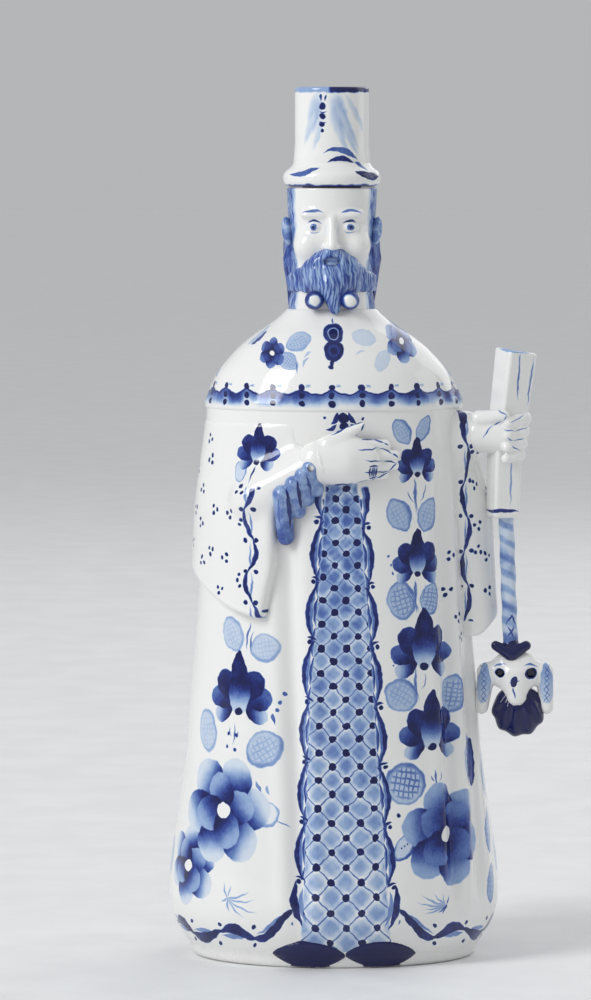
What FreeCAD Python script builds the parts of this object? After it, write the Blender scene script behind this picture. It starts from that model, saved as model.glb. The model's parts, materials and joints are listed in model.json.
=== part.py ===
"""Figural porcelain decanter: a robed, bearded courtier whose tall hat is the stopper.

Millimetres, +Z up, the figure faces -Y, and the origin is the centre of the foot on the table.
Every piece is a separately cast or hand-moulded porcelain part, luted face to face before firing,
apart from the stopper, which lifts out of the mouth in the crown of the head with its cork sleeve.
"""
import FreeCAD
import Part
import math
import os

V = FreeCAD.Vector
Z_AXIS = V(0, 0, 1)

# --- driving dimensions -------------------------------------------------------------------------
HEIGHT = 299.0          # table to the top of the hat
WALL = 4.0              # slip-cast wall
NECK_X = -0.8           # the neck stands a little to the figure's right of the foot's centre
FOOT_TOP = 6.0          # joint between the floor and the robe
CAPE_Z = 190.0          # lower edge of the shoulder cape
NECK_Z = 223.0          # joint between the cape and the head
MOUTH_Z = 264.6         # rim of the mouth, hidden by the hat
HAT_GAP = 0.3           # open joint between the hat and the head
BRIM_TOP = 273.0        # joint between the brim and the crown of the hat

FOOT_RECESS = 1.5
NECK_BORE_R = 8.0
SOCKET_R = 10.05
SOCKET_Z = 247.0
CORK_R = 10.0           # outside of the cork sleeve
PLUG_R = 8.6
PLUG_WALL = 3.0
PLUG_Z = 248.0
CORK_Z = 250.0

CROWN_R = 12.8
BRIM_R = 16.6
HAT_WALL = 2.5

ARM_Y = -9.0            # how far forward the raised hand holds the staff
GRIP_X = (62.6, 58.9, 57.9)     # the grip's middle at its top, in the fist and at its lower end
GRIP_Z = (208.7, 183.0, 151.5)
GRIP_W = (15.0, 13.0, 11.6)
GRIP_D = (11.5, 11.0, 9.8)
ROD_R = 3.1
ROD_FOOT_X = 60.0
COLLAR_Z = 108.0        # joint between the rod and the collar of the hound's head
HOUND_X = 62.2
SHOE_X = 3.5            # where the toes of the two shoes meet

# Outline of the bottle: (height, half width, half depth)
FOOT = [(0.0, 48.5, 38.8), (3.0, 49.3, 39.4), (FOOT_TOP, 51.8, 41.4)]
ROBE = [(FOOT_TOP, 51.8, 41.4), (18.0, 56.4, 45.1), (46.0, 53.0, 42.6), (80.0, 50.2, 40.2),
        (115.0, 47.6, 38.2), (150.0, 45.4, 36.4), (CAPE_Z, 43.6, 34.8)]
CAPE = [(CAPE_Z, 44.6, 35.6), (196.0, 42.2, 34.0), (202.0, 38.6, 31.4), (208.0, 33.4, 27.8),
        (213.0, 27.6, 23.6), (218.0, 21.0, 18.6), (NECK_Z, 15.6, 14.8)]
HEAD = [(NECK_Z, 15.6, 14.8), (230.0, 14.7, 14.2), (240.0, 14.7, 14.6), (252.0, 15.2, 15.2),
        (MOUTH_Z, 15.2, 15.2)]

os.makedirs("parts", exist_ok=True)


# --- helpers ------------------------------------------------------------------------------------
def centre_x(z):
    """The body's axis is upright to the cape and then leans over to the neck."""
    share = min(max((z - CAPE_Z) / (NECK_Z - CAPE_Z), 0.0), 1.0)
    return NECK_X * share


def oval(z, half_width, half_depth, x=0.0, y=0.0):
    """A level ellipse as a wire, its long axis along X."""
    if abs(half_width - half_depth) < 1e-6:
        curve = Part.Circle(V(x, y, z), Z_AXIS, half_width)
    else:
        curve = Part.Ellipse(V(x, y, z), half_width, half_depth)
    return Part.Wire(curve.toShape())


def loft(sections, inset=0.0):
    """A closed solid through (height, half width, half depth) sections, drawn in by inset."""
    wires = [oval(z, w - inset, d - inset, centre_x(z)) for z, w, d in sections]
    return Part.makeLoft(wires, True, False)


def cylinder(r, z0, z1, x=NECK_X, y=0.0):
    return Part.makeCylinder(r, z1 - z0, V(x, y, z0), Z_AXIS)


def ellipsoid(centre, semi, lean=0.0):
    """An ellipsoid with its axes along X, Y and Z, then leant over towards +X by lean degrees."""
    matrix = FreeCAD.Matrix()
    matrix.scale(*semi)
    shape = Part.makeSphere(1.0).transformGeometry(matrix)
    shape.rotate(V(0, 0, 0), V(0, 1, 0), lean)
    shape.translate(V(*centre))
    return shape


def block(z, x, y, width, depth, chamfer):
    """A level rectangle with cut corners, as a wire."""
    w, d, c = width / 2, depth / 2, chamfer
    corners = [(-w + c, -d), (w - c, -d), (w, -d + c), (w, d - c), (w - c, d), (-w + c, d),
               (-w, d - c), (-w, -d + c)]
    points = [V(x + dx, y + dy, z) for dx, dy in corners]
    return Part.makePolygon(points + points[:1])


def save(node, shape, *cutters):
    """Cuts the neighbours away, checks the piece and writes it as its own node."""
    for cutter in cutters:
        shape = shape.cut(cutter)
    solids = sorted(shape.Solids, key=lambda s: -s.Volume)
    kept = [s for s in solids if s.Volume > 0.02 * solids[0].Volume]
    shape = kept[0] if len(kept) == 1 else Part.makeCompound(kept)
    shape.exportStep(f"parts/{node}.step")
    box = shape.BoundBox
    print(f"{node:18s} solids {len(kept)} valid {shape.isValid()} volume {shape.Volume / 1000:8.2f} cm3"
          f"  x {box.XMin:6.1f} {box.XMax:6.1f}  y {box.YMin:6.1f} {box.YMax:6.1f}"
          f"  z {box.ZMin:6.1f} {box.ZMax:6.1f}")
    return shape


# --- the bottle ---------------------------------------------------------------------------------
def base_floor():
    recess = Part.Face(oval(0.0, 42.0, 33.0)).extrude(V(0, 0, FOOT_RECESS))
    return save("base_floor", loft(FOOT), recess)


def robe_shell():
    return save("robe_shell", loft(ROBE), loft(ROBE, WALL))


def shoulder_cape():
    inside = [(CAPE_Z, CAPE[0][1] - 1.0, CAPE[0][2] - 0.8)] + CAPE[1:]
    return save("shoulder_cape", loft(CAPE), loft(inside, WALL))


def head_shell():
    neck = cylinder(NECK_BORE_R, NECK_Z - 1, MOUTH_Z + 1)
    socket = cylinder(SOCKET_R, SOCKET_Z, MOUTH_Z + 1)
    return save("head_shell", loft(HEAD), neck, socket)


def hair_and_beard(head, cape):
    beard = save("beard", ellipsoid((NECK_X, -13.5, 236.0), (8.5, 6.0, 12.0)), head, cape)
    ears = []
    for side, name in ((-1, "right_ear"), (1, "left_ear")):
        ear = ellipsoid((NECK_X + side * 14.6, -1.5, 246.0), (2.6, 3.0, 5.2))
        ears.append(save(name, ear, head))
    front = Part.makeBox(60, 30, 60, V(-30, -29, 220))
    mane = ellipsoid((NECK_X, 5.5, 242.0), (16.4, 12.5, 19.5))
    save("hair", mane, head, cape, front, *ears)
    for side, name in ((-1, "collar_bead_right"), (1, "collar_bead_left")):
        bead = Part.makeSphere(3.3, V(NECK_X + side * 6.2, -16.2, 226.2))
        save(name, bead, head, cape, beard)


# --- arms, on the figure's own right and left ---------------------------------------------------
def right_arm(robe, cape):
    sleeve = save("right_sleeve", ellipsoid((-29.0, -13.0, 150.0), (19.6, 21.5, 34.0)), robe, cape)
    cuff = save("right_cuff", ellipsoid((-11.0, -32.0, 157.0), (11.5, 9.5, 21.0), 25), robe, sleeve)
    save("right_hand", ellipsoid((9.0, -34.0, 172.5), (15.5, 9.0, 9.5)), robe, sleeve, cuff)


def left_arm(robe, cape):
    sections = [block(z, x, ARM_Y, w, d, 0.12 * w)
                for z, x, w, d in zip(GRIP_Z, GRIP_X, GRIP_W, GRIP_D)]
    grip = save("staff_grip", Part.makeLoft(sections, True, True), robe)
    sleeve = ellipsoid((42.0, -7.0, 152.0), (12.5, 16.0, 37.0))
    forearm = ellipsoid((46.5, ARM_Y, 181.0), (10.5, 8.5, 9.0))
    sleeve = save("left_sleeve", sleeve.fuse(forearm), robe, cape, grip)
    save("left_hand", ellipsoid((58.0, ARM_Y - 0.5, 180.5), (9.9, 8.6, 10.5)), robe, grip, sleeve)
    rod_foot = V(ROD_FOOT_X, ARM_Y, COLLAR_Z)
    rod_top = V(GRIP_X[2], ARM_Y, GRIP_Z[2])
    rod = Part.makeCylinder(ROD_R, 60.0, rod_foot, rod_top - rod_foot)
    below_grip = Part.makeBox(40, 40, GRIP_Z[2] - COLLAR_Z, V(40, -30, COLLAR_Z))
    save("twisted_rod", rod.common(below_grip), sleeve, robe)
    return sleeve


def hound(robe, sleeve):
    """The long-eared hound's head that hangs from the rod, with its collar and the dark besom."""
    above_joint = Part.makeBox(20, 20, 20, V(ROD_FOOT_X - 10, ARM_Y - 10, COLLAR_Z))
    collar = save("hound_collar", ellipsoid((ROD_FOOT_X, ARM_Y, 105.6), (6.2, 4.6, 4.4)),
                  above_joint, robe)
    skull = ellipsoid((HOUND_X, ARM_Y - 1.0, 94.6), (8.0, 6.5, 9.4))
    eyes = []
    for side, reach in ((-1, 8.9), (1, 9.6)):
        ear = ellipsoid((HOUND_X + side * reach, ARM_Y, 91.6), (5.2, 3.4, 9.6))
        skull = skull.fuse(ear)
        eyes.append(Part.makeCylinder(1.3, 8.0, V(HOUND_X + side * 5.2, ARM_Y - 9.0, 97.5), V(0, 1, 0)))
    skull = save("hound_head", skull, *eyes, collar, robe, sleeve)
    save("besom", ellipsoid((HOUND_X + 1.0, ARM_Y + 1.5, 84.0), (9.0, 6.5, 8.6)), skull, robe)


def shoes(robe, floor):
    """Two pointed shoes, toe to toe, in low relief under the hem."""
    for side, name in ((-1, "right_shoe"), (1, "left_shoe")):
        toe = ellipsoid((SHOE_X + side * 11.3, -38.5, 5.2), (11.6, 6.6, 4.6))
        beyond = Part.makeBox(60, 60, 20, V(SHOE_X - (60 if side > 0 else 0), -60, -5))
        under = Part.makeBox(90, 60, 10, V(-45, -60, -9.4))
        save(name, toe, robe, floor, beyond, under)


# --- the stopper --------------------------------------------------------------------------------
def turned(points):
    """A solid of revolution about the neck's axis from (radius, height) corners or curves."""
    edges = []
    for start, end in zip(points, points[1:] + points[:1]):
        a, b = (V(NECK_X + r, 0, z) for r, z in (start[-1], end[0]))
        if len(start) == 3:
            edges.append(Part.Arc(*(V(NECK_X + r, 0, z) for r, z in start)).toShape())
        if a.distanceToPoint(b) > 1e-6:
            edges.append(Part.LineSegment(a, b).toShape())
    face = Part.Face(Part.Wire(edges))
    return face.revolve(V(NECK_X, 0, 0), Z_AXIS, 360)


def stopper():
    hollow_r = CROWN_R - HAT_WALL
    underside = MOUTH_Z + HAT_GAP
    bore_r = PLUG_R - PLUG_WALL
    floor_top = underside + HAT_WALL
    roll = ((BRIM_R - 1.2, underside), (BRIM_R, underside + 3.2), (BRIM_R - 1.6, underside + 5.8))
    flare = ((BRIM_R - 2.4, underside + 6.4), (CROWN_R + 0.8, BRIM_TOP - 0.9), (CROWN_R, BRIM_TOP))
    brim = [((bore_r, underside),), roll, flare, ((hollow_r, BRIM_TOP),), ((hollow_r, floor_top),),
            ((bore_r, floor_top),)]
    save("hat_brim", turned(brim))

    edge = 1.5
    bend = edge * (1 - math.sqrt(0.5))
    shoulder = ((CROWN_R, HEIGHT - edge), (CROWN_R - bend, HEIGHT - bend), (CROWN_R - edge, HEIGHT))
    crown = [((CROWN_R, BRIM_TOP),), shoulder, ((0.0, HEIGHT),), ((0.0, HEIGHT - HAT_WALL),),
             ((hollow_r, HEIGHT - HAT_WALL),), ((hollow_r, BRIM_TOP),)]
    save("hat_crown", turned(crown))

    plug = cylinder(PLUG_R, PLUG_Z, underside)
    save("stopper_plug", plug, cylinder(bore_r, PLUG_Z + PLUG_WALL, underside + 1))

    save("cork_sleeve", cylinder(CORK_R, CORK_Z, underside), cylinder(PLUG_R, PLUG_Z, underside + 1))


def main():
    floor = base_floor()
    robe_shell()
    shoulder_cape()
    head_shell()
    robe, cape, head = loft(ROBE), loft(CAPE), loft(HEAD)
    shoes(robe, floor)
    hair_and_beard(head, cape)
    right_arm(robe, cape)
    sleeve = left_arm(robe, cape)
    hound(robe, sleeve)
    stopper()


main()
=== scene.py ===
"""Looks of the figural porcelain decanter: modelled porcelain pieces, and cobalt painting in shader nodes.

Shapes and paint are worked out in millimetres and turned into metres as each mesh is made.
Paint coordinates: u runs round a piece from its front towards +X, v is the height above the table.
"""
import itertools
import json
import math

import bpy
import numpy as np
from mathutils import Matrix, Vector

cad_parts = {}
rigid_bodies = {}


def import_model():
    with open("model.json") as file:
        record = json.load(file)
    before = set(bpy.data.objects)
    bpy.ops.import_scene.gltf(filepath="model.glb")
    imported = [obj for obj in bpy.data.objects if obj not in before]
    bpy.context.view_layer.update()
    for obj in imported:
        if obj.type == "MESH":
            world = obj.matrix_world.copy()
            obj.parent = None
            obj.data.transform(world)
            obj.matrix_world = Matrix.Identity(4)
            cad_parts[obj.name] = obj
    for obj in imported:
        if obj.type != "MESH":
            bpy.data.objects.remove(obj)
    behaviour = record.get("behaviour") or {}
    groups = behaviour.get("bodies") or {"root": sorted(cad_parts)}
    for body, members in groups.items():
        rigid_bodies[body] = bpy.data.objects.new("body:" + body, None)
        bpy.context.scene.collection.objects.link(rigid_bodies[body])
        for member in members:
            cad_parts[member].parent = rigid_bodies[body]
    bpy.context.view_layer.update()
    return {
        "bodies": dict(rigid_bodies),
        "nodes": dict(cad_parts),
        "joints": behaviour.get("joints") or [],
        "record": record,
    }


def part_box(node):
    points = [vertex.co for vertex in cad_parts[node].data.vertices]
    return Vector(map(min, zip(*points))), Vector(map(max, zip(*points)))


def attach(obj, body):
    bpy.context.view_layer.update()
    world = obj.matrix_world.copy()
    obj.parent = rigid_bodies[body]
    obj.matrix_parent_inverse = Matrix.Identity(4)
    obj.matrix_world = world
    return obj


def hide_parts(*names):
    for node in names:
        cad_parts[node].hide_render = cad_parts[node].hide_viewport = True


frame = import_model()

MM = 0.001
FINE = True

# --- sizes, in millimetres ----------------------------------------------------------------------


def top_of(node):
    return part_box(node)[1][2] / MM


def foot_of(node):
    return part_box(node)[0][2] / MM


FOOT_TOP = foot_of("robe_shell")
CAPE_Z = foot_of("shoulder_cape")
NECK_Z = foot_of("head_shell")
MOUTH_Z = top_of("head_shell")
HAT_FOOT = foot_of("hat_brim")
HAT_TOP = top_of("hat_crown")
BRIM_TOP = foot_of("hat_crown")
NECK_X = (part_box("cork_sleeve")[0][0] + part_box("cork_sleeve")[1][0]) / 2 / MM
SOCKET_R = (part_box("cork_sleeve")[1][0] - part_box("cork_sleeve")[0][0]) / 2 / MM + 0.05
SOCKET_Z = foot_of("stopper_plug") - 1.0
BORE_R = 8.0
WALL = 4.0
ARM_Y = -9.0


# --- curves and fields --------------------------------------------------------------------------
def curve(points):
    """A smooth function through (x, y) points that stays level beyond its ends."""
    x, y = (np.array(column, float) for column in zip(*points))
    slope = np.gradient(y, x)

    def value(t):
        t = np.clip(t, x[0], x[-1])
        i = np.clip(np.searchsorted(x, t, side="right") - 1, 0, len(x) - 2)
        step = x[i + 1] - x[i]
        s = (t - x[i]) / step
        return ((2 * s**3 - 3 * s**2 + 1) * y[i] + (s**3 - 2 * s**2 + s) * step * slope[i]
                + (3 * s**2 - 2 * s**3) * y[i + 1] + (s**3 - s**2) * step * slope[i + 1])
    return value


def smooth(low, high, value):
    s = np.clip((value - low) / (high - low), 0.0, 1.0)
    return s * s * (3 - 2 * s)


def join(a, b, soften):
    """The union of two solids, with a fillet of about soften."""
    h = np.clip(0.5 + 0.5 * (b - a) / soften, 0.0, 1.0)
    return b + (a - b) * h - soften * h * (1 - h)


def common(a, b, soften):
    return -join(-a, -b, soften)


def cut(a, b, soften):
    """Solid a with b taken out of it."""
    return common(a, -b, soften)


def ellipsoid(p, centre, semi, turn=0.0, nod=0.0):
    """Distance to an ellipsoid, turned about Y by turn degrees and then about X by nod degrees."""
    q = p - np.array(centre, float)
    if nod:
        c, s = math.cos(math.radians(nod)), math.sin(math.radians(nod))
        q = np.stack([q[..., 0], c * q[..., 1] + s * q[..., 2], c * q[..., 2] - s * q[..., 1]], -1)
    if turn:
        c, s = math.cos(math.radians(turn)), math.sin(math.radians(turn))
        q = np.stack([c * q[..., 0] - s * q[..., 2], q[..., 1], s * q[..., 0] + c * q[..., 2]], -1)
    semi = np.array(semi, float)
    reach = np.linalg.norm(q / semi, axis=-1)
    return reach * (reach - 1) / (np.linalg.norm(q / semi**2, axis=-1) + 1e-9)


def limb(p, a, b, r_a, r_b):
    """Distance to a tapered round limb from a to b."""
    a, b = np.array(a, float), np.array(b, float)
    along = np.clip(((p - a) @ (b - a)) / ((b - a) @ (b - a)), 0.0, 1.0)
    return np.linalg.norm(p - a - along[..., None] * (b - a), axis=-1) - (r_a + (r_b - r_a) * along)


def tube(p, x, y, r):
    return np.hypot(p[..., 0] - x, p[..., 1] - y) - r


# --- outline of the bottle ----------------------------------------------------------------------
HALF_WIDTH = curve([(0.0, 48.3), (3.0, 49.0), (6.0, 51.2), (10.5, 54.0), (15.0, 55.8), (20.0, 56.6),
                    (28.0, 56.2), (45.0, 54.2), (70.0, 51.0), (92.0, 49.4), (115.0, 47.4),
                    (140.0, 45.8), (165.0, 44.8), (CAPE_Z + 1.0, 43.8)])
DEPTH_SHARE = 0.80
CAPE_WIDTH = curve([(CAPE_Z - 4.5, 44.6), (CAPE_Z, 44.4), (194.0, 43.4), (197.5, 41.8), (202.0, 39.4),
                    (206.0, 36.0), (210.0, 32.2), (214.0, 27.2), (218.0, 21.2), (221.0, 17.4),
                    (NECK_Z, 15.4)])
CAPE_DEPTH = curve([(CAPE_Z - 4.5, 36.0), (CAPE_Z, 35.8), (197.5, 33.6), (206.0, 29.6), (214.0, 23.4),
                    (218.0, 18.8), (NECK_Z, 14.6)])


def centre_x(z):
    return NECK_X * np.clip((z - CAPE_Z) / (NECK_Z - CAPE_Z), 0.0, 1.0)


def robe_size(z):
    return HALF_WIDTH(z), DEPTH_SHARE * HALF_WIDTH(z)


def cape_size(z):
    return CAPE_WIDTH(z), CAPE_DEPTH(z)


def oval(p, size):
    """Distance to the upright wall whose level sections are ellipses of size(z)."""
    a, b = size(p[..., 2])
    x, y = p[..., 0] - centre_x(p[..., 2]), p[..., 1]
    reach = np.hypot(x / a, y / b)
    return reach * (reach - 1) / (np.hypot(x / a**2, y / b**2) + 1e-9)


TURN = np.linspace(0.0, math.pi, 721)


def arc_length(angle, share):
    """Length round an ellipse of half width 1 and half depth share, from its front to angle."""
    speed = np.hypot(np.cos(TURN), share * np.sin(TURN))
    total = np.concatenate([[0.0], np.cumsum((speed[1:] + speed[:-1]) / 2 * TURN[1])])
    return np.sign(angle) * np.interp(np.abs(angle), TURN, total)


def place_on(size, share):
    """Gives the paint coordinates of points near the wall whose level sections are size(z)."""
    def place(p):
        z = p[..., 2]
        a, b = size(z)
        angle = np.arctan2((p[..., 0] - centre_x(z)) / a, -p[..., 1] / b)
        return np.stack([a * arc_length(angle, share), z], axis=-1)
    return place


on_robe = place_on(robe_size, DEPTH_SHARE)
on_cape = place_on(cape_size, DEPTH_SHARE)


# --- making meshes ------------------------------------------------------------------------------
SEAM_JUMP = 20.0        # a face whose paint coordinates differ by more lies across the back seam
SHARP_DEGREES = 50.0


def piece(name, points, faces, paint, body, material):
    """A mesh from millimetres in place of the CAD node of its name; its UV map is its paint coordinates."""
    mesh = bpy.data.meshes.new(name)
    mesh.from_pydata((np.asarray(points) * MM).tolist(), [], [list(map(int, f)) for f in faces])
    corners = np.asarray(paint, float)[np.asarray(faces, dtype=np.int64)]
    behind = np.ptp(corners[..., 0], axis=1) > SEAM_JUMP
    corners[behind, :, 0] = np.abs(corners[behind, :, 0])
    mesh.uv_layers.new(name="paint").data.foreach_set("uv", corners.ravel())
    mesh.polygons.foreach_set("use_smooth", [True] * len(mesh.polygons))
    mesh.update()
    mesh.set_sharp_from_angle(angle=math.radians(SHARP_DEGREES))
    made = bpy.data.objects.new(name, mesh)
    bpy.context.scene.collection.objects.link(made)
    made.data.materials.append(material)
    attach(made, body)
    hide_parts(name)
    return made


def skin(field, low, high, step):
    """A closed mesh of the surface where field is zero, one point for each cell that it crosses."""
    axes = [np.arange(a, b + step, step) for a, b in zip(low, high)]
    grid = np.stack(np.meshgrid(*axes, indexing="ij"), axis=-1)
    value = field(grid)
    inside = value < 0
    cells = tuple(n - 1 for n in value.shape)
    total, count = np.zeros((*cells, 3)), np.zeros(cells)
    for corner in itertools.product((0, 1), repeat=3):
        for axis in range(3):
            if corner[axis]:
                continue
            end = tuple(c + (i == axis) for i, c in enumerate(corner))
            here, there = (tuple(slice(c, c + n) for c, n in zip(k, cells)) for k in (corner, end))
            crossed = inside[here] != inside[there]
            share = np.where(crossed, value[here] / np.where(crossed, value[here] - value[there], 1.0), 0.0)
            where = grid[here] + (grid[there] - grid[here]) * share[..., None]
            total += np.where(crossed[..., None], where, 0.0)
            count += crossed
    active = count > 0
    number = np.full(cells, -1)
    number[active] = np.arange(active.sum())
    points = total[active] / count[active][:, None]
    faces = []
    for axis in range(3):
        across, up = (axis + 1) % 3, (axis + 2) % 3

        def part(array, starts):
            cuts = [slice(None)] * 3
            for k, (a, b) in starts.items():
                cuts[k] = slice(a, b)
            return array[tuple(cuts)]

        start = part(inside, {axis: (0, -1), across: (1, -1), up: (1, -1)})
        end = part(inside, {axis: (1, None), across: (1, -1), up: (1, -1)})
        ring = [part(number, {across: a, up: b}) for a, b in
                (((0, -1), (0, -1)), ((1, None), (0, -1)), ((1, None), (1, None)), ((0, -1), (1, None)))]
        for outward, order in ((start & ~end, (0, 1, 2, 3)), (end & ~start, (3, 2, 1, 0))):
            faces.append(np.stack([ring[k][outward] for k in order], axis=-1))
    return points, np.concatenate(faces)


def settle(points, faces, rounds=2):
    """Evens a skin out by moving each point part of the way to its neighbours' middle."""
    edges = np.concatenate([faces[:, [0, 1]], faces[:, [1, 2]], faces[:, [2, 3]], faces[:, [3, 0]]])
    for share in (0.5, -0.52) * rounds:
        total, count = np.zeros_like(points), np.zeros(len(points))
        np.add.at(total, edges[:, 0], points[edges[:, 1]])
        np.add.at(count, edges[:, 0], 1)
        points = points + share * (total / count[:, None] - points)
    return points


def sculpt(name, field, low, high, step, place, slot, material):
    """A piece of the bottle modelled as a field, such as a hand: negative inside, zero on its surface."""
    points, faces = skin(field, low, high, step)
    points = settle(points, faces)
    return piece(name, points, faces, place(points), "bottle", material)


def walled(name, rings, place, body, material):
    """A closed wall from rings of points, which go up its outside and come down its inside."""
    count, columns = rings.shape[:2]
    points = rings.reshape(-1, 3)
    faces = []
    for i in range(count):
        below, above = i * columns, (i + 1) % count * columns
        for j in range(columns):
            k = (j + 1) % columns
            faces.append((below + j, below + k, above + k, above + j))
    return piece(name, points, faces, place(points), body, material)


COLUMNS = 320 if FINE else 160
ROUND = np.linspace(-math.pi, math.pi, COLUMNS, endpoint=False)


def ring(half_width, half_depth, z, x=0.0, lift=0.0):
    """Points round a level ellipse from its back, by its right side, moved out by lift."""
    sine, cosine = np.sin(ROUND), np.cos(ROUND)
    out = np.stack([sine / half_width, -cosine / half_depth], axis=-1)
    out /= np.linalg.norm(out, axis=-1)[:, None]
    flat = np.stack([x + half_width * sine, -half_depth * cosine], axis=-1) + out * np.reshape(lift, (-1, 1))
    return np.concatenate([flat, np.full((COLUMNS, 1), z)], axis=-1)


# --- proportions of the head, and the hound's place ----------------------------------------------
CROWN_Z = 271.0         # top of the skull, inside the hat
CHIN_Z = 231.5
EYE_Z = (CROWN_Z + CHIN_Z) / 2
BROW_Z = EYE_Z + 4.2
NOSE_Z = BROW_Z - (BROW_Z - CHIN_Z) / 2
LIP_Z = NOSE_Z - (NOSE_Z - CHIN_Z) / 3
EYE_X = 5.8
HOUND_X = 62.2


# --- cobalt painting ----------------------------------------------------------------------------
# Each brush mark is a node group that lays a density of cobalt, from 0 to 1, over the density under
# it.  Places and sizes are in millimetres of the paint coordinates; turns are in degrees.
PAINT, UNDER = "Paint", "Under"


def summed(operation):
    """A method of Sketch for one operation of the Math node."""
    return lambda sketch, *values: sketch.math(operation, *values)


class Sketch:
    """Short ways to add shader nodes to one tree."""

    plus, minus, times, over = (summed(operation) for operation in ("ADD", "SUBTRACT", "MULTIPLY", "DIVIDE"))
    madd = summed("MULTIPLY_ADD")
    size = summed("ABSOLUTE")
    most = summed("MAXIMUM")
    sine = summed("SINE")

    def __init__(self, tree):
        self.tree = tree

    def add(self, kind, values, **settings):
        node = self.tree.nodes.new("ShaderNode" + kind)
        for key, value in settings.items():
            setattr(node, key, value)
        self.fill(node, values)
        return node

    def fill(self, node, values):
        for key, value in values.items():
            if isinstance(value, bpy.types.NodeSocket):
                self.tree.links.new(value, node.inputs[key])
            else:
                node.inputs[key].default_value = value

    def math(self, operation, *values):
        return self.add("Math", dict(enumerate(values)), operation=operation).outputs[0]

    def vector(self, operation, a, b=(0, 0, 0)):
        node = self.add("VectorMath", {0: a, 1: b}, operation=operation)
        return node.outputs["Value" if operation in ("LENGTH", "DISTANCE", "DOT_PRODUCT") else "Vector"]

    def ramp(self, value, low, high, start=0.0, end=1.0):
        values = {"Value": value, "From Min": low, "From Max": high, "To Min": start, "To Max": end}
        return self.add("MapRange", values, interpolation_type="SMOOTHSTEP", clamp=False).outputs["Result"]

    def mix(self, share, a, b):
        return self.add("Mix", {0: share, 2: a, 3: b}, data_type="FLOAT").outputs[0]

    def split(self, vector):
        return self.add("SeparateXYZ", {0: vector}).outputs[:2]

    def join(self, x, y):
        return self.add("CombineXYZ", {0: x, 1: y}).outputs[0]

    def noise(self, vector, scale, detail=2.0):
        values = {"Vector": vector, "Scale": scale, "Detail": detail}
        return self.add("TexNoise", values, noise_dimensions="2D").outputs

    def local(self, i):
        """How far the paint lies from a mark's middle, and that as shares of its two half axes."""
        away = self.vector("SUBTRACT", i[PAINT], i["Place"])
        return away, *(self.vector("DOT_PRODUCT", away, i[axis]) for axis in ("Along", "Aside"))


def axes(turn, long, wide):
    """The two axes of a mark turned by turn degrees, divided by its half sizes."""
    c, s = math.cos(math.radians(turn)), math.sin(math.radians(turn))
    return {"Along": (c / long, s / long, 0), "Aside": (-s / wide, c / wide, 0)}


def mark(name, **inputs):
    """Makes a node group with Paint and Under inputs and these; the function builds Density."""
    def made_by(build):
        tree = bpy.data.node_groups.new(name, "ShaderNodeTree")
        for key, default in {PAINT: (0, 0, 0), UNDER: 0.0, **inputs}.items():
            kind = "NodeSocketVector" if isinstance(default, tuple) else "NodeSocketFloat"
            tree.interface.new_socket(key, in_out="INPUT", socket_type=kind).default_value = default
        tree.interface.new_socket("Density", in_out="OUTPUT", socket_type="NodeSocketFloat")
        source = tree.nodes.new("NodeGroupInput")
        target = tree.nodes.new("NodeGroupOutput")
        density = build(Sketch(tree), {s.name: s for s in source.outputs if s.name})
        tree.links.new(density, target.inputs["Density"])
        return tree
    return made_by


FRAME = {"Place": (0, 0, 0), "Along": (1, 0, 0), "Aside": (0, 1, 0)}


@mark("petal", **FRAME, Toward=(1, 0, 0), Pinch=0.0, Start=0.9, End=0.3, Core=1.02)
def PETAL(s, i):
    """A rounded brush load: its tone runs from Start to End along Toward, with a crisp edge."""
    away, x, y = s.local(i)
    y = s.over(y, s.madd(x, i["Pinch"], 1.0))
    reach = s.madd(y, y, s.times(x, x))
    inside = s.ramp(reach, 1.22, i["Core"])
    tone = s.ramp(s.vector("DOT_PRODUCT", away, i["Toward"]), -0.8, 0.8, i["Start"], i["End"])
    return s.mix(inside, i[UNDER], tone)


@mark("leaf", **FRAME, Round=1.5, Wash=0.15, Edge=0.4, Hatch=0.0)
def LEAF(s, i):
    """A pale pointed oval with a darker brushed edge, and crossed hatching where Hatch is above 0."""
    _, x, y = s.local(i)
    across = s.math("POWER", s.size(y), i["Round"])
    reach = s.madd(x, x, across)
    edge = s.ramp(s.madd(y, -0.16, reach), 0.55, 0.9, i["Wash"], i["Edge"])
    lines = s.most(s.sine(s.times(x, 27.0)), s.sine(s.times(y, 21.0)))
    middle = s.ramp(reach, 0.7, 0.4)
    hatch = s.times(s.ramp(lines, 0.1, 1.0), s.times(middle, i["Hatch"]))
    return s.mix(s.ramp(reach, 1.06, 0.88), i[UNDER], s.plus(edge, hatch))


@mark("stroke", **FRAME, Half=5.0, Width=0.6, Bend=0.2, Taper=0.0, Tone=0.8)
def STROKE(s, i):
    """A bent brush line of half length Half, thick in its middle and tapering to its ends."""
    _, x, y = s.local(i)
    bow = s.minus(1.0, s.times(x, x))
    gap = s.size(s.minus(y, s.times(bow, i["Bend"])))
    thick = s.times(bow, s.most(s.madd(x, i["Taper"], 1.0), 0.2))
    room = s.madd(thick, i["Width"], s.times(gap, s.times(i["Half"], -1.0)))
    return s.most(i[UNDER], s.ramp(room, -0.06, 0.22, 0.0, i["Tone"]))


@mark("dot", Place=(0, 0, 0), Radius=1.0, Tone=1.0)
def DOT(s, i):
    away = s.vector("DISTANCE", i[PAINT], i["Place"])
    room = s.minus(i["Radius"], away)
    return s.most(i[UNDER], s.ramp(room, -0.1, 0.25, 0.0, i["Tone"]))


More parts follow.
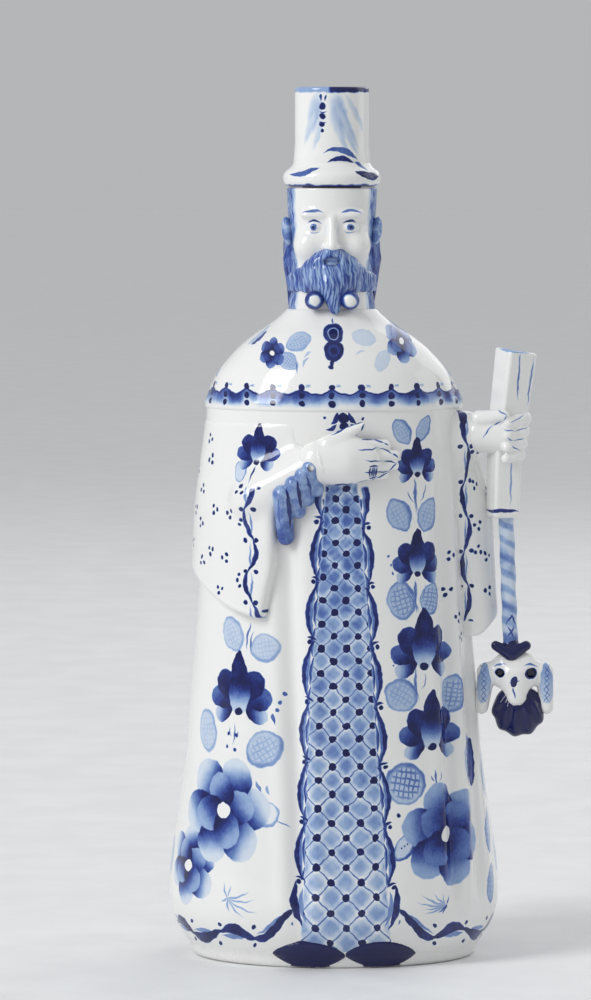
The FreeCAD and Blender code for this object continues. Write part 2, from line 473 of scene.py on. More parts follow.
@mark("trio", First=(0, 0, 0), Second=(0, 0, 0), Third=(0, 0, 0))
def TRIO(s, i):
    """Three small dots, as sprinkled over the sleeves."""
    away = [s.vector("DISTANCE", i[PAINT], i[key]) for key in ("First", "Second", "Third")]
    nearest = s.math("MINIMUM", s.math("MINIMUM", away[0], away[1]), away[2])
    return s.most(i[UNDER], s.ramp(nearest, 0.85, 0.45, 0.0, 0.95))


@mark("garland", Pitch=10.0, Start=0.0, Bulge=2.0, Width=0.8, Tone=0.8, Low=-1000.0, High=1000.0)
def GARLAND(s, i):
    """A chain of bows along the paint's first axis, from Low to High, with a paler line inside them."""
    along, across = s.split(i[PAINT])
    turn = s.math("FRACT", s.over(s.minus(along, i["Start"]), i["Pitch"]))
    side = s.madd(turn, 2.0, -1.0)
    bow = s.minus(1.0, s.times(side, side))
    away = s.size(s.minus(across, s.times(bow, i["Bulge"])))
    thick = s.times(i["Width"], s.madd(bow, 0.75, s.madd(side, 0.2, 0.3)))
    line = s.ramp(s.minus(thick, away), -0.12, 0.3, 0.0, i["Tone"])
    middle = s.minus(across, s.times(bow, s.madd(i["Width"], -0.7, i["Bulge"])))
    body = s.minus(s.times(bow, s.times(i["Width"], 1.3)), s.size(middle))
    drawn = s.most(line, s.ramp(body, -0.15, 0.35, 0.0, 0.5))
    span = s.times(s.ramp(along, i["Low"], s.plus(i["Low"], 0.8)),
                  s.ramp(along, i["High"], s.plus(i["High"], -0.8)))
    return s.most(i[UNDER], s.times(drawn, span))


@mark("vine", Pitch=20.0, Start=0.0, Swing=1.5, Width=0.8, Tone=0.8, Low=-1000.0, High=1000.0)
def VINE(s, i):
    """A wavy brushed line along the paint's first axis, with a paler line and dots in its bends."""
    along, across = s.split(i[PAINT])
    turn = s.times(s.over(s.minus(along, i["Start"]), i["Pitch"]), 2 * math.pi)
    wave = s.sine(turn)
    away = s.size(s.minus(across, s.times(wave, i["Swing"])))
    swell = s.size(s.sine(s.plus(turn, 0.5)))
    thick = s.times(i["Width"], s.madd(swell, 0.7, 0.3))
    line = s.ramp(s.minus(thick, away), -0.12, 0.28, 0.0, i["Tone"])
    inner = s.size(s.minus(across, s.times(wave, s.times(i["Swing"], -0.15))))
    pale = s.ramp(s.minus(s.times(swell, s.times(i["Width"], 0.5)), inner), -0.1, 0.35, 0.0, 0.42)
    half = s.math("FRACT", s.over(turn, math.pi))
    near = s.times(s.minus(half, 0.86), s.times(i["Pitch"], 0.5))
    out = s.minus(s.size(across), s.madd(i["Width"], 1.3, 0.6))
    dot = s.ramp(s.math("SQRT", s.madd(near, near, s.times(out, out))), 0.95, 0.6, 0.0, 0.95)
    drawn = s.most(s.most(line, pale), dot)
    span = s.times(s.ramp(along, i["Low"], s.plus(i["Low"], 0.8)),
                  s.ramp(along, i["High"], s.plus(i["High"], -0.8)))
    return s.most(i[UNDER], s.times(drawn, span))


class Painter:
    """Lays marks one after another on one material, in the coordinates of the piece."""

    def __init__(self, tree, ground=0.0):
        self.s = Sketch(tree)
        flat = self.s.add("UVMap", {}, uv_map="paint").outputs[0]
        shake = self.s.vector("SUBTRACT", self.s.noise(flat, 0.3, 1.0)["Color"], (0.5, 0.5, 0.5))
        self.flat = flat
        self.hand = self.s.vector("ADD", flat, self.s.vector("MULTIPLY", shake, (1.1, 1.1, 0.0)))
        self.density = ground

    def lay(self, tree, paint=None, **values):
        node = self.s.tree.nodes.new("ShaderNodeGroup")
        node.node_tree = tree
        values = {PAINT: self.hand if paint is None else paint, UNDER: self.density, **values}
        self.s.fill(node, values)
        self.density = node.outputs["Density"]

    def petal(self, u, v, turn, long, wide, start=0.9, end=0.3, toward=(1, 0), pinch=0.0, core=1.02):
        frame = axes(turn, long, wide)
        way = [toward[0] * x + toward[1] * y for x, y in zip(frame["Along"], frame["Aside"])]
        self.lay(PETAL, Place=(u, v, 0), **frame, Toward=way, Pinch=pinch, Start=start, End=end,
                 Core=core)

    def leaf(self, u, v, turn, long, wide, wash=0.13, edge=0.36, hatch=0.0, roundness=1.5):
        self.lay(LEAF, Place=(u, v, 0), **axes(turn, long, wide), Round=roundness, Wash=wash, Edge=edge,
                 Hatch=hatch)

    def stroke(self, u, v, turn, half, width=0.6, bend=0.2, taper=0.0, tone=0.8):
        self.lay(STROKE, Place=(u, v, 0), **axes(turn, half, half), Half=half, Width=width, Bend=bend,
                 Taper=taper, Tone=tone)

    def dot(self, u, v, radius=1.0, tone=1.0):
        self.lay(DOT, Place=(u, v, 0), Radius=radius, Tone=tone)

    def trio(self, u, v, turn=0.0):
        places = [(u + 1.35 * math.cos(k), v + 1.35 * math.sin(k), 0) for k in
                  (math.radians(turn + step) for step in (90, 205, 325))]
        self.lay(TRIO, First=places[0], Second=places[1], Third=places[2])

    def line(self, points, width=0.35, tone=0.5):
        """A drawn outline: straight strokes from each point to the next."""
        for (u0, v0), (u1, v1) in zip(points, points[1:]):
            half = math.hypot(u1 - u0, v1 - v0) / 2
            self.stroke((u0 + u1) / 2, (v0 + v1) / 2, math.degrees(math.atan2(v1 - v0, u1 - u0)),
                        half * 1.12, width, 0.0, 0.0, tone)

    def turned(self, along_up, centre):
        """Paint coordinates for a border that climbs: how high, and how far right of centre."""
        u, v = self.s.split(self.hand)
        return self.s.join(v, self.s.times(self.s.minus(u, centre), along_up))


def porcelain(name, paint=None, ground=0.0):
    """Clear glaze over white porcelain, with cobalt laid by paint(painter) between them."""
    material = bpy.data.materials.new(name)
    material.use_nodes = True
    painter = Painter(material.node_tree, ground)
    if paint:
        paint(painter)
    s = painter.s
    streak = s.noise(s.vector("MULTIPLY", painter.flat, (1.0, 0.6, 1.0)), 1.3, 2.0)["Fac"]
    cloud = s.noise(painter.flat, 0.16, 2.0)["Fac"]
    load = s.plus(s.ramp(streak, 0.3, 0.7, 0.97, 1.06), s.ramp(cloud, 0.3, 0.7, -0.08, 0.07))
    density = s.times(painter.density, load)
    colours = s.add("ValToRGB", {"Fac": density})
    band = colours.color_ramp
    band.interpolation = "LINEAR"
    band.elements[0].position, band.elements[0].color = COBALT[0][0], (*COBALT[0][1], 1)
    band.elements[1].position, band.elements[1].color = COBALT[-1][0], (*COBALT[-1][1], 1)
    for position, colour in COBALT[1:-1]:
        band.elements.new(position).color = (*colour, 1)
    shader = s.tree.nodes["Principled BSDF"]
    s.tree.links.new(colours.outputs["Color"], shader.inputs["Base Color"])
    space = s.add("TexCoord", {}).outputs["Object"]
    gloss = s.add("TexNoise", {"Vector": space, "Scale": 90.0, "Detail": 3.0}).outputs["Fac"]
    s.tree.links.new(s.ramp(gloss, 0.3, 0.7, 0.07, 0.13), shader.inputs["Roughness"])
    ripple = s.add("TexNoise", {"Vector": space, "Scale": 140.0, "Detail": 2.0}).outputs["Fac"]
    pores = s.add("TexNoise", {"Vector": space, "Scale": 900.0, "Detail": 1.0}).outputs["Fac"]
    height = s.madd(pores, 0.05, ripple)
    bump = s.add("Bump", {"Height": height, "Strength": 0.35, "Distance": 0.0004})
    s.tree.links.new(bump.outputs["Normal"], shader.inputs["Normal"])
    shader.inputs["IOR"].default_value = 1.5
    shader.inputs["Coat Weight"].default_value = 0.1
    shader.inputs["Coat Roughness"].default_value = 0.04
    return material


COBALT = (      # density, and the colour of that much cobalt under the glaze
    (0.0, (0.80, 0.80, 0.785)),
    (0.12, (0.56, 0.64, 0.75)),
    (0.3, (0.27, 0.385, 0.61)),
    (0.5, (0.095, 0.17, 0.43)),
    (0.7, (0.024, 0.055, 0.27)),
    (0.86, (0.006, 0.015, 0.14)),
    (1.0, (0.0015, 0.004, 0.065)),
)


# --- motifs -------------------------------------------------------------------------------------
def bud(p, u, v, size, wide=1.0):
    """A generic flower seen from its side: it stands size high on its knot at (u, v)."""
    p.petal(u, v + 0.74 * size, 90, 0.28 * size, 0.15 * size * wide, 0.9, 0.98, (1, 0), -0.45)
    for side in (-1, 1):
        for k, dark in enumerate((0.2, 0.6, 0.85)):
            lift = math.radians(40 * k - 28)
            way = math.degrees(lift) if side > 0 else 180 - math.degrees(lift)
            p.petal(u + side * 0.36 * size * wide * math.cos(lift), v + (0.16 + 0.34 * math.sin(lift)) * size,
                    way, (0.22 + 0.04 * k) * size, (0.14 + 0.03 * k) * size, 0.97, dark, (0.8, 0.4 * side),
                    0.2)
    p.petal(u, v + 0.3 * size, 90, 0.32 * size, 0.2 * size * wide, 0.16, 0.95, (1, 0), 0.2)
    p.petal(u, v + 0.02 * size, 0, 0.075 * size, 0.065 * size, 1.0, 1.0)


def rose(p, u, v, size, turn=0.0, dark=0.1):
    """A generic open rose: rings of petals round a bare heart, each loaded darkest at its root."""
    for count, reach, long, wide, pale in ((6, 0.64, 0.4, 0.37, dark), (4, 0.34, 0.36, 0.31, dark + 0.2)):
        for k in range(count):
            way = math.radians(turn + 360.0 * k / count + 180.0 / count**2)
            p.petal(u + reach * size * math.cos(way), v + reach * size * math.sin(way), math.degrees(way),
                    long * size, wide * size, 1.0, pale, (0.9, 0.4))
    p.petal(u, v, turn, 0.17 * size, 0.14 * size, 0.0, 0.0)


def sprig(p, u, v, height, side=1, tone=0.5):
    """A short stem with a hook on each side."""
    p.stroke(u, v, 90 + 8 * side, height / 2, 0.35, 0.12 * side, 0.3, tone)
    p.stroke(u + side * 0.16 * height, v + 0.1 * height, 90 - 16 * side, 0.28 * height, 0.28, -0.25 * side,
             0.2, tone)
    p.stroke(u - side * 0.16 * height, v, 90 + 26 * side, 0.22 * height, 0.28, 0.25 * side, 0.2, tone)


def speckles(p, points, radius=0.45, tone=0.6):
    for u, v in points:
        p.dot(u, v, radius, tone)


def grass(p, u, v, blades, tone=0.3):
    """A tuft of pale bent blades that fan out from (u, v): each blade has a turn and a length."""
    for turn, length in blades:
        way = math.radians(turn)
        p.stroke(u + 0.5 * length * math.cos(way), v + 0.5 * length * math.sin(way), turn, 0.55 * length,
                 0.42, 0.16 if math.cos(way) < 0 else -0.16, -0.4, tone)


TUFT = ((104, 6.0), (76, 5.0), (20, 9.0), (2, 11.0), (-20, 12.5), (-42, 9.0), (-80, 5.0), (196, 3.0))
PANEL_MID = 3.9


def panel(p):
    """The lattice down the robe's front, with its scalloped borders."""
    s = p.s
    u, v = s.split(p.hand)
    left = s.most(s.madd(v, 0.072, -14.8), s.madd(v, 0.04, -12.0))
    right = s.math("MINIMUM", s.madd(v, -0.09, 22.6), s.madd(v, -0.072, 19.9))
    spacing = s.madd(v, -0.0235, 10.95)
    x = s.over(s.minus(u, PANEL_MID), spacing)
    y = s.times(s.math("LOGARITHM", s.over(spacing, 10.95), math.e), 1 / 0.0235)
    y = s.plus(y, 0.35)
    a, b = s.plus(x, y), s.minus(x, y)
    off = [s.size(s.minus(s.math("FRACT", s.plus(k, 0.5)), 0.5)) for k in (a, b)]
    nearest = s.math("MINIMUM", *off)
    upper = s.ramp(v, 95.0, 150.0)
    line = s.ramp(nearest, 0.05, 0.01, 0.0, 0.62)
    crossing = s.math("SQRT", s.madd(off[0], off[0], s.times(off[1], off[1])))
    bands = s.plus(*(s.ramp(k, 0.08, 0.34, 0.0, 0.2) for k in off))
    blotch = s.noise(s.join(a, b), 0.8, 2.0)["Fac"]
    wash = s.plus(s.times(bands, s.ramp(v, 10.0, 90.0, 0.75, 1.0)), s.ramp(blotch, 0.3, 0.7, -0.07, 0.07))
    wash = s.plus(wash, s.times(upper, s.ramp(blotch, 0.35, 0.6, 0.02, 0.14)))
    dots = s.ramp(s.times(crossing, spacing), 1.95, 1.6, 0.0, 1.0)
    drawn = s.most(s.most(line, wash), dots)
    span = s.times(s.ramp(s.minus(u, left), -0.4, 0.6), s.ramp(s.minus(right, u), -0.4, 0.6))
    span = s.times(span, s.ramp(v, 168.0, 163.0))
    p.density = s.mix(span, p.density, drawn)
    for edge, side, start, low in ((left, -1, 152.0, 30.4), (right, 1, 150.0, 28.4)):
        border = p.turned(side, edge)
        p.lay(GARLAND, border, Pitch=20.3, Start=start, Bulge=2.9, Width=0.85, Tone=0.86, Low=low, High=164.0)
        p.lay(GARLAND, border, Pitch=10.15, Start=start + 5.0, Bulge=0.8, Width=0.5, Tone=0.75, Low=low,
              High=160.0)
        for k in range(7):
            height = start - 20.3 * k
            share = min(1.0, (160.0 - height) / 132.0)
            at = (-3.6 - 7.0 * share) if side < 0 else (8.6 + 9.6 * share)
            p.stroke(at + side * 1.3, height + 0.7, 90 - side * 62, 2.0, 0.55, side * 0.3, 0.3, 0.85)
            p.dot(at + side * 2.2, height, 0.85, 0.97)


def panel_foot(p):
    """The strokes that carry the panel's borders down to the hem."""
    for u, v, side in ((-12.0, 22.6, -1), (19.4, 21.2, 1)):
        p.stroke(u, v, 90 - side * 10, 8.4, 1.25, side * -0.22, 0.2, 0.88)
        p.stroke(u - side * 1.6, v - 0.6, 90 - side * 10, 6.6, 1.0, side * -0.2, 0.2, 0.42)


def hem(p):
    """The scrolls that run round the robe above its foot."""
    s = p.s
    u, v = s.split(p.hand)
    along = s.size(s.minus(u, PANEL_MID))
    rise = s.ramp(along, 34.0, 17.5, 0.0, 9.0)
    middle = s.minus(s.minus(v, 10.6), rise)
    outside = s.ramp(along, 17.5, 18.6)
    before = p.density
    p.lay(VINE, s.join(along, middle), Pitch=28.0, Start=20.0, Swing=-2.4, Width=2.15, Tone=0.9, Low=18.0)
    p.density = s.mix(outside, before, p.density)


def emblem(p):
    """The knot of strokes at the top of the robe's front."""
    p.dot(3.0, 187.0, 1.8, 1.0)
    p.dot(3.2, 184.2, 1.5, 1.0)
    for side in (-1, 1):
        p.stroke(3.0 + side * 3.2, 187.0, 90 + side * 34, 2.6, 1.0, side * 0.3, 0.2, 0.85)
        p.stroke(3.0 + side * 4.2, 184.2, 90 + side * 66, 2.2, 0.8, side * 0.3, 0.2, 0.8)
        p.dot(3.0 + side * 6.4, 187.0, 0.55, 0.9)


def robe_paint(p):
    right_leaves = ((23.6, 182.2, 122, 5.2, 3.6), (32.3, 183.0, 62, 5.0, 2.9), (22.6, 154.0, 118, 6.4, 4.7),
                    (33.8, 153.8, 70, 6.4, 4.2), (23.4, 124.9, 104, 6.8, 5.6), (34.8, 125.2, 80, 5.8, 4.2),
                    (23.2, 92.9, 150, 6.6, 5.8), (45.3, 92.3, 84, 6.6, 5.0))
    for k, (u, v, turn, long, wide) in enumerate(right_leaves):
        p.leaf(u, v, turn, long, wide, 0.22, 0.46, 0.18 if k in (4, 5, 7) else 0.08, 1.3 if k < 4 else 1.6)
    for v, height in ((160.0, 13.0), (126.0, 12.0), (96.0, 12.0)):
        sprig(p, 29.4, v, height, 1, 0.55)
        p.stroke(29.0, v, 92, height / 2, 0.7, 0.06, 0.3, 0.42)
    bud(p, 29.5, 167.3, 12.6, 1.05)
    bud(p, 29.5, 133.5, 15.2)
    bud(p, 32.0, 102.0, 19.4, 1.1)
    p.leaf(24.8, 63.0, 170, 7.6, 7.2, 0.2, 0.5, 0.3, 2.0)
    p.leaf(53.8, 70.0, 88, 8.6, 4.6, 0.2, 0.5, 0.1, 1.7)
    p.leaf(57.4, 68.0, 92, 8.4, 1.9, 0.7, 0.9, 0.0, 1.6)
    bud(p, 35.0, 74.4, 19.0, 1.1)
    p.leaf(24.4, 41.6, 52, 5.6, 3.5, 0.14, 0.62, 0.0, 1.5)
    speckles(p, ((23.0, 41.4), (24.2, 42.0), (25.4, 42.6), (26.5, 43.3)), 0.4, 0.95)
    speckles(p, ((27.0, 51.2), (28.6, 50.4), (30.0, 49.4), (22.0, 52.4)), 0.75, 0.9)
    speckles(p, ((18.6, 140.0), (19.4, 137.0), (20.2, 134.2), (19.6, 106.0), (20.4, 103.2)), 0.5, 0.6)
    sprig(p, 36.6, 64.0, 7.0, 1, 0.6)
    rose(p, 41.0, 45.0, 17.0, 40.0, 0.3)
    for v, turn, long in ((64.0, 92, 9.0), (44.0, 86, 8.0), (26.0, 80, 7.0)):
        p.leaf(66.0, v, turn, long, 3.6, 0.3, 0.55, 0.1, 1.8)
    grass(p, 40.0, 21.5, ((172, 11.5), (158, 10.5), (186, 9.0), (198, 9.5), (140, 6.0), (112, 4.0)))
    grass(p, 40.5, 21.5, ((215, 5.0), (236, 4.0), (70, 3.0)), 0.6)

    p.leaf(-37.4, 113.0, 116, 6.6, 4.6, 0.14, 0.3, 0.07, 1.5)
    p.leaf(-24.2, 108.8, 10, 6.0, 5.0, 0.14, 0.32, 0.07, 1.6)
    p.stroke(-30.4, 112.4, 80, 5.0, 0.45, 0.14, 0.2, 0.55)
    p.stroke(-29.0, 110.6, 84, 4.0, 0.35, 0.2, 0.2, 0.55)
    bud(p, -34.5, 86.5, 20.0, 1.1)
    p.leaf(-49.6, 79.4, 96, 7.6, 4.2, 0.14, 0.3, 0.06, 1.9)
    p.leaf(-24.4, 74.6, 30, 7.6, 6.2, 0.18, 0.4, 0.1, 1.7)
    sprig(p, -36.6, 79.0, 8.0, -1, 0.55)
    speckles(p, ((-39.1, 79.2), (-35.4, 78.8), (-39.6, 74.6), (-36.0, 74.0)), 0.75, 0.75)
    speckles(p, ((-17.2, 93.6), (-18.7, 90.6), (-19.6, 88.0)), 0.75, 0.6)
    p.stroke(-20.6, 84.8, 100, 2.4, 0.8, 0.1, 0.6, 0.6)
    p.leaf(-24.0, 52.6, 10, 5.4, 4.6, 0.04, 0.36, 0.0, 1.7)
    p.stroke(-17.8, 49.6, -26, 3.0, 0.4, 0.1, 0.0, 0.36)
    p.stroke(-26.4, 62.0, 120, 2.4, 0.7, 0.2, 0.2, 0.4)
    p.stroke(-23.0, 61.0, 110, 1.8, 0.6, 0.2, 0.2, 0.3)
    rose(p, -58.0, 33.0, 13.0, 15.0)
    rose(p, -41.0, 53.0, 18.0)
    grass(p, -38.5, 23.5, TUFT)
    robe_trios(p)
    back_paint(p)
    panel(p)
    panel_foot(p)
    emblem(p)
    hem(p)


def mirrored(p):
    """Turns a painter's coordinates into ones that read the same to the left and to the right."""
    u, v = p.s.split(p.hand)
    p.hand = p.s.join(p.s.size(u), v)


def back_paint(p):
    """The sides and back, which carry on the same flowers."""
    hand = p.hand
    mirrored(p)
    for u, v, size in ((91.0, 98.0, 16.0), (93.0, 57.0, 20.0), (103.0, 143.0, 15.0), (121.0, 104.0, 17.0),
                       (123.0, 61.0, 20.0)):
        p.leaf(u - 6.6, v - 6.0, 56, 6.2, 4.6, 0.2, 0.42, 0.1, 1.5)
        p.leaf(u + 6.6, v - 6.0, 124, 6.2, 4.6, 0.2, 0.42, 0.1, 1.5)
        p.stroke(u, v - 6.0, 92, 5.0, 0.7, 0.06, 0.3, 0.42)
        bud(p, u, v, size, 1.05)
    p.leaf(78.0, 74.0, 92, 7.6, 4.8, 0.2, 0.42, 0.1, 1.6)
    p.leaf(79.0, 34.0, 106, 7.0, 4.6, 0.2, 0.42, 0.1, 1.6)
    grass(p, 100.0, 24.0, TUFT)
    grass(p, 132.0, 24.0, TUFT)
    p.hand = hand


def cape_paint(p):
    s = p.s
    u, v = s.split(p.hand)
    p.leaf(-12.0, 212.4, 24, 5.0, 3.2, 0.2, 0.3, 0.08, 1.5)
    p.leaf(-15.8, 206.0, 150, 4.0, 3.0, 0.2, 0.3, 0.1, 1.6)
    p.stroke(-12.6, 204.0, 96, 2.6, 0.3, 0.1, 0.2, 0.5)
    p.stroke(-9.4, 205.6, 60, 2.2, 0.5, 0.3, 0.2, 0.25)
    p.stroke(-8.8, 208.0, 30, 1.8, 0.5, 0.3, 0.2, 0.2)
    rose(p, -22.0, 208.6, 5.0, 20.0, 0.5)
    p.stroke(-29.4, 213.4, 36, 4.2, 0.8, -0.1, 0.2, 0.8)
    p.stroke(-31.0, 214.4, 36, 5.6, 1.4, -0.16, 0.2, 0.22)
    p.leaf(10.7, 213.8, 168, 4.6, 2.9, 0.12, 0.14, 0.0, 1.5)
    p.leaf(17.2, 206.2, 60, 4.0, 2.7, 0.12, 0.14, 0.0, 1.5)
    p.stroke(9.6, 208.6, 20, 2.2, 0.4, 0.3, 0.2, 0.14)
    rose(p, 26.0, 212.4, 7.0, 20.0, 0.3)

    for middle, hollow in ((215.2, 1.6), (209.5, 1.1)):
        away = s.vector("DISTANCE", p.hand, (0.2, middle, 0.0))
        ring_mark = s.ramp(s.size(s.minus(away, 2.7)), 0.95, 0.5, 0.0, 0.9)
        core = s.ramp(away, hollow + 0.3, hollow - 0.1, 0.0, 1.0)
        wash = s.ramp(away, 3.2, 2.8, 0.0, 0.3 if hollow > 1.5 else 0.75)
        p.density = s.most(p.density, s.most(s.most(ring_mark, wash), core))
    p.stroke(0.2, 205.4, 64, 2.1, 0.75, 0.34, -0.2, 0.95)
    p.dot(-0.9, 203.9, 0.85, 1.0)
    p.stroke(0.0, 219.2, 90, 1.2, 0.3, 0.0, 0.3, 0.6)

    pitch = 10.3
    turn = s.math("FRACT", s.over(s.minus(u, -0.9), pitch))
    side = s.madd(turn, 2.0, -1.0)
    bow = s.minus(1.0, s.times(side, side))
    top = s.madd(bow, -2.0, 197.2)
    depth = s.minus(top, v)
    pool = s.noise(s.join(s.times(u, 0.3), 0.0), 0.4, 1.0)["Fac"]
    band = s.plus(s.ramp(depth, 0.2, 5.0, 0.8, 0.26), s.ramp(pool, 0.35, 0.65, -0.26, 0.1))
    band = s.times(band, s.ramp(depth, -0.15, 0.35))
    band = s.times(band, s.ramp(v, 190.0, 192.4))
    line = s.ramp(s.size(s.plus(depth, -0.35)), 0.55, 0.15, 0.0, 0.9)
    p.density = s.most(p.density, s.most(band, line))
    above = s.times(s.ramp(s.size(s.minus(side, -0.55)), 0.22, 0.08),
                   s.ramp(s.size(s.minus(v, 197.8)), 0.6, 0.2, 0.0, 0.28))
    p.density = s.most(p.density, above)
    near = s.times(s.minus(s.size(side), 1.0), pitch / 2)
    spot = 0.0
    for height, radius in ((197.3, 1.15), (194.6, 1.15), (191.9, 1.1)):
        up = s.minus(v, height)
        away = s.math("SQRT", s.madd(near, near, s.times(up, up)))
        spot = s.most(spot, s.ramp(away, radius + 0.15, radius - 0.2, 0.0, 1.0))
    p.density = s.most(p.density, spot)
    mirrored(p)
    for u in (62.0, 100.0):
        p.leaf(u - 7.5, 203.6, 60, 4.2, 2.8, 0.2, 0.36, 0.1, 1.5)
        p.leaf(u + 7.5, 203.6, 120, 4.2, 2.8, 0.2, 0.36, 0.1, 1.5)
        bud(p, u, 202.0, 9.0, 1.1)


def breast_bloom(p):
    """The small bloom on the breast."""
    p.leaf(-32.0, 168.4, 118, 3.8, 2.6, 0.12, 0.36, 0.0, 1.5)
    bud(p, -26.4, 171.6, 13.0)
    p.stroke(-24.4, 177.6, 70, 2.2, 0.45, 0.2, 0.0, 0.55)
    p.stroke(-26.4, 167.8, 92, 3.0, 0.45, 0.1, 0.2, 0.9)


def on_staff_arm(p):
    """Paint coordinates of the staff arm's sleeve: along X in front, and then round the robe."""
    place = on_robe(p)
    turn = smooth(-13.0, -2.0, p[..., 1])
    return np.stack([p[..., 0] * (1 - turn) + place[..., 0] * turn, place[..., 1]], axis=-1)


RIGHT_TRIOS = (     # where the right sleeve is sprinkled
    (-28.9, 162.5), (-42.7, 155.3), (-34.9, 154.2), (-52.0, 161.7), (-51.5, 150.2), (-57.5, 154.5),
    (-47.8, 172.0), (-50.3, 179.0), (-44.4, 141.1), (-36.6, 139.1), (-50.0, 137.2), (-39.3, 128.2),
    (-60.0, 143.0), (-60.0, 168.0), (-70.0, 175.0), (-70.0, 158.0), (-72.0, 143.0), (-82.0, 167.0),
    (-84.0, 150.0), (-93.0, 175.0), (-94.0, 158.0), (-90.0, 137.0),
)


def right_sleeve_paint(p):
    """The bloom on the breast, the sleeve's sprinkled dots and the scroll down its edge."""
    breast_bloom(p)
    for k, (u, v) in enumerate(RIGHT_TRIOS):
        p.trio(u, v, 37.0 * k)
    p.lay(VINE, p.turned(1.0, -26.4), Pitch=21.0, Start=157.5, Swing=1.9, Width=0.95, Tone=0.86, Low=119.0,
          High=164.0)
    speckles(p, ((-22.5, 163.6), (-30.6, 150.6), (-29.8, 152.4), (-31.4, 131.8), (-30.4, 130.0),
                 (-30.8, 133.6), (-22.6, 121.6)), 0.7, 0.95)


LEFT_SCROLL = 45.0      # how far to the left the staff arm's scroll hangs


def left_sleeve_paint(p):
    """The scroll down the front of the staff arm's sleeve, and its sprinkled dots."""
    p.petal(LEFT_SCROLL - 1.0, 186.6, 90, 2.6, 1.4, 0.97, 0.8)
    p.lay(VINE, p.turned(1.0, LEFT_SCROLL), Pitch=24.0, Start=190.0, Swing=1.3, Width=0.95, Tone=0.9,
          Low=116.0, High=188.0)
    for k, (u, v) in enumerate(((48.4, 175.0), (49.2, 163.1), (49.6, 149.1), (49.4, 140.6), (53.4, 138.2),
                                (53.4, 126.5), (58.0, 160.0), (62.0, 146.0), (68.0, 132.0), (72.0, 164.0),
                                (76.0, 148.0), (82.0, 136.0), (86.0, 168.0), (90.0, 152.0))):
        p.trio(u, v, 41.0 * k)


def robe_trios(p):
    for k, (u, v) in enumerate(((45.0, 139.2), (43.6, 127.2), (48.4, 118.0), (50.6, 111.0))):
        p.trio(u, v, 30.0 + 23.0 * k)


def hat_arcs(p):
    """The bent strokes over the front of the brim, which run on up the crown."""
    for u, v, turn, half, width, bend, tone in (
            (3.0, 10.2, -12, 6.6, 1.1, 0.36, 0.62), (3.0, 8.2, 0, 4.9, 1.0, 0.3, 0.9),
            (-9.0, 5.6, 14, 5.2, 1.1, -0.2, 0.62), (11.4, 4.6, -10, 5.0, 1.5, -0.16, 0.9),
            (9.8, 7.2, -34, 2.4, 0.8, 0.1, 0.6)):
        p.stroke(u, HAT_FOOT + v, turn, half, width, bend, 0.1, tone)


def hat_crown_paint(p):
    """A dark edge at the top, fans of pale strokes, and a row of dots down the front."""
    s = p.s
    u, v = s.split(p.hand)
    rim = s.ramp(v, HAT_TOP - 2.2, HAT_TOP - 1.6)
    p.density = s.times(rim, s.ramp(s.sine(s.madd(u, 0.16, 0.1)), -0.15, 0.1, 0.3, 0.95))
    for u, v, turn, long, wide, tone in ((-6.6, 9.0, 78, 7.5, 2.8, 0.26), (-8.4, 14.0, 66, 6.5, 1.5, 0.16),
                                         (-5.2, 16.0, 74, 6.0, 1.3, 0.16), (2.4, 10.0, 100, 8.5, 3.4, 0.3),
                                         (5.4, 13.0, 118, 9.5, 1.6, 0.24), (8.8, 9.0, 124, 8.0, 1.3, 0.16),
                                         (3.6, 18.0, 112, 6.0, 1.2, 0.18), (6.6, 18.6, 122, 6.0, 1.0, 0.2)):
        p.petal(u, HAT_TOP - v, turn, long, wide, tone, 0.6 * tone, (0.3, 1), 0.0, 0.1)
    for x in (-3.9, -2.2):
        p.stroke(x, HAT_TOP - 3.8, 90, 1.4, 0.45, 0.0, 0.2, 0.8)
    for z, r in ((6.6, 1.35), (10.0, 1.0), (12.8, 0.95), (15.0, 0.75)):
        p.dot(-3.3 - 0.02 * z, HAT_TOP - z, r, 0.97)
    for z in (8.4, 11.6):
        p.stroke(-3.3, HAT_TOP - z, 0, 1.3, 0.35, -0.4, 0.0, 0.7)
    for side in (-1, 1):
        for u, turn in ((24.0, 90), (29.0, 90 - side * 14)):
            p.petal(side * u, HAT_TOP - 9.0, turn, 7.0, 1.8, 0.24, 0.14, (0.3, 1), 0.0, 0.1)
        p.dot(side * 36.0, HAT_TOP - 7.0, 1.1, 0.9)
        p.dot(side * 36.0, HAT_TOP - 10.4, 0.9, 0.9)
    hat_arcs(p)


def hat_brim_paint(p):
    """The front strokes, a few round the sides, and a dark line along the foot."""
    hat_arcs(p)
    for side in (-1, 1):
        p.stroke(side * 27.0, HAT_FOOT + 3.6, 0, 5.4, 1.0, -0.26, 0.1, 0.7)
        p.stroke(side * 36.0, HAT_FOOT + 5.6, 0, 4.4, 0.9, 0.3, 0.1, 0.6)
    v = p.s.split(p.hand)[1]
    p.density = p.s.most(p.density, p.s.ramp(v, HAT_FOOT + 1.1, HAT_FOOT + 0.4, 0.0, 0.9))


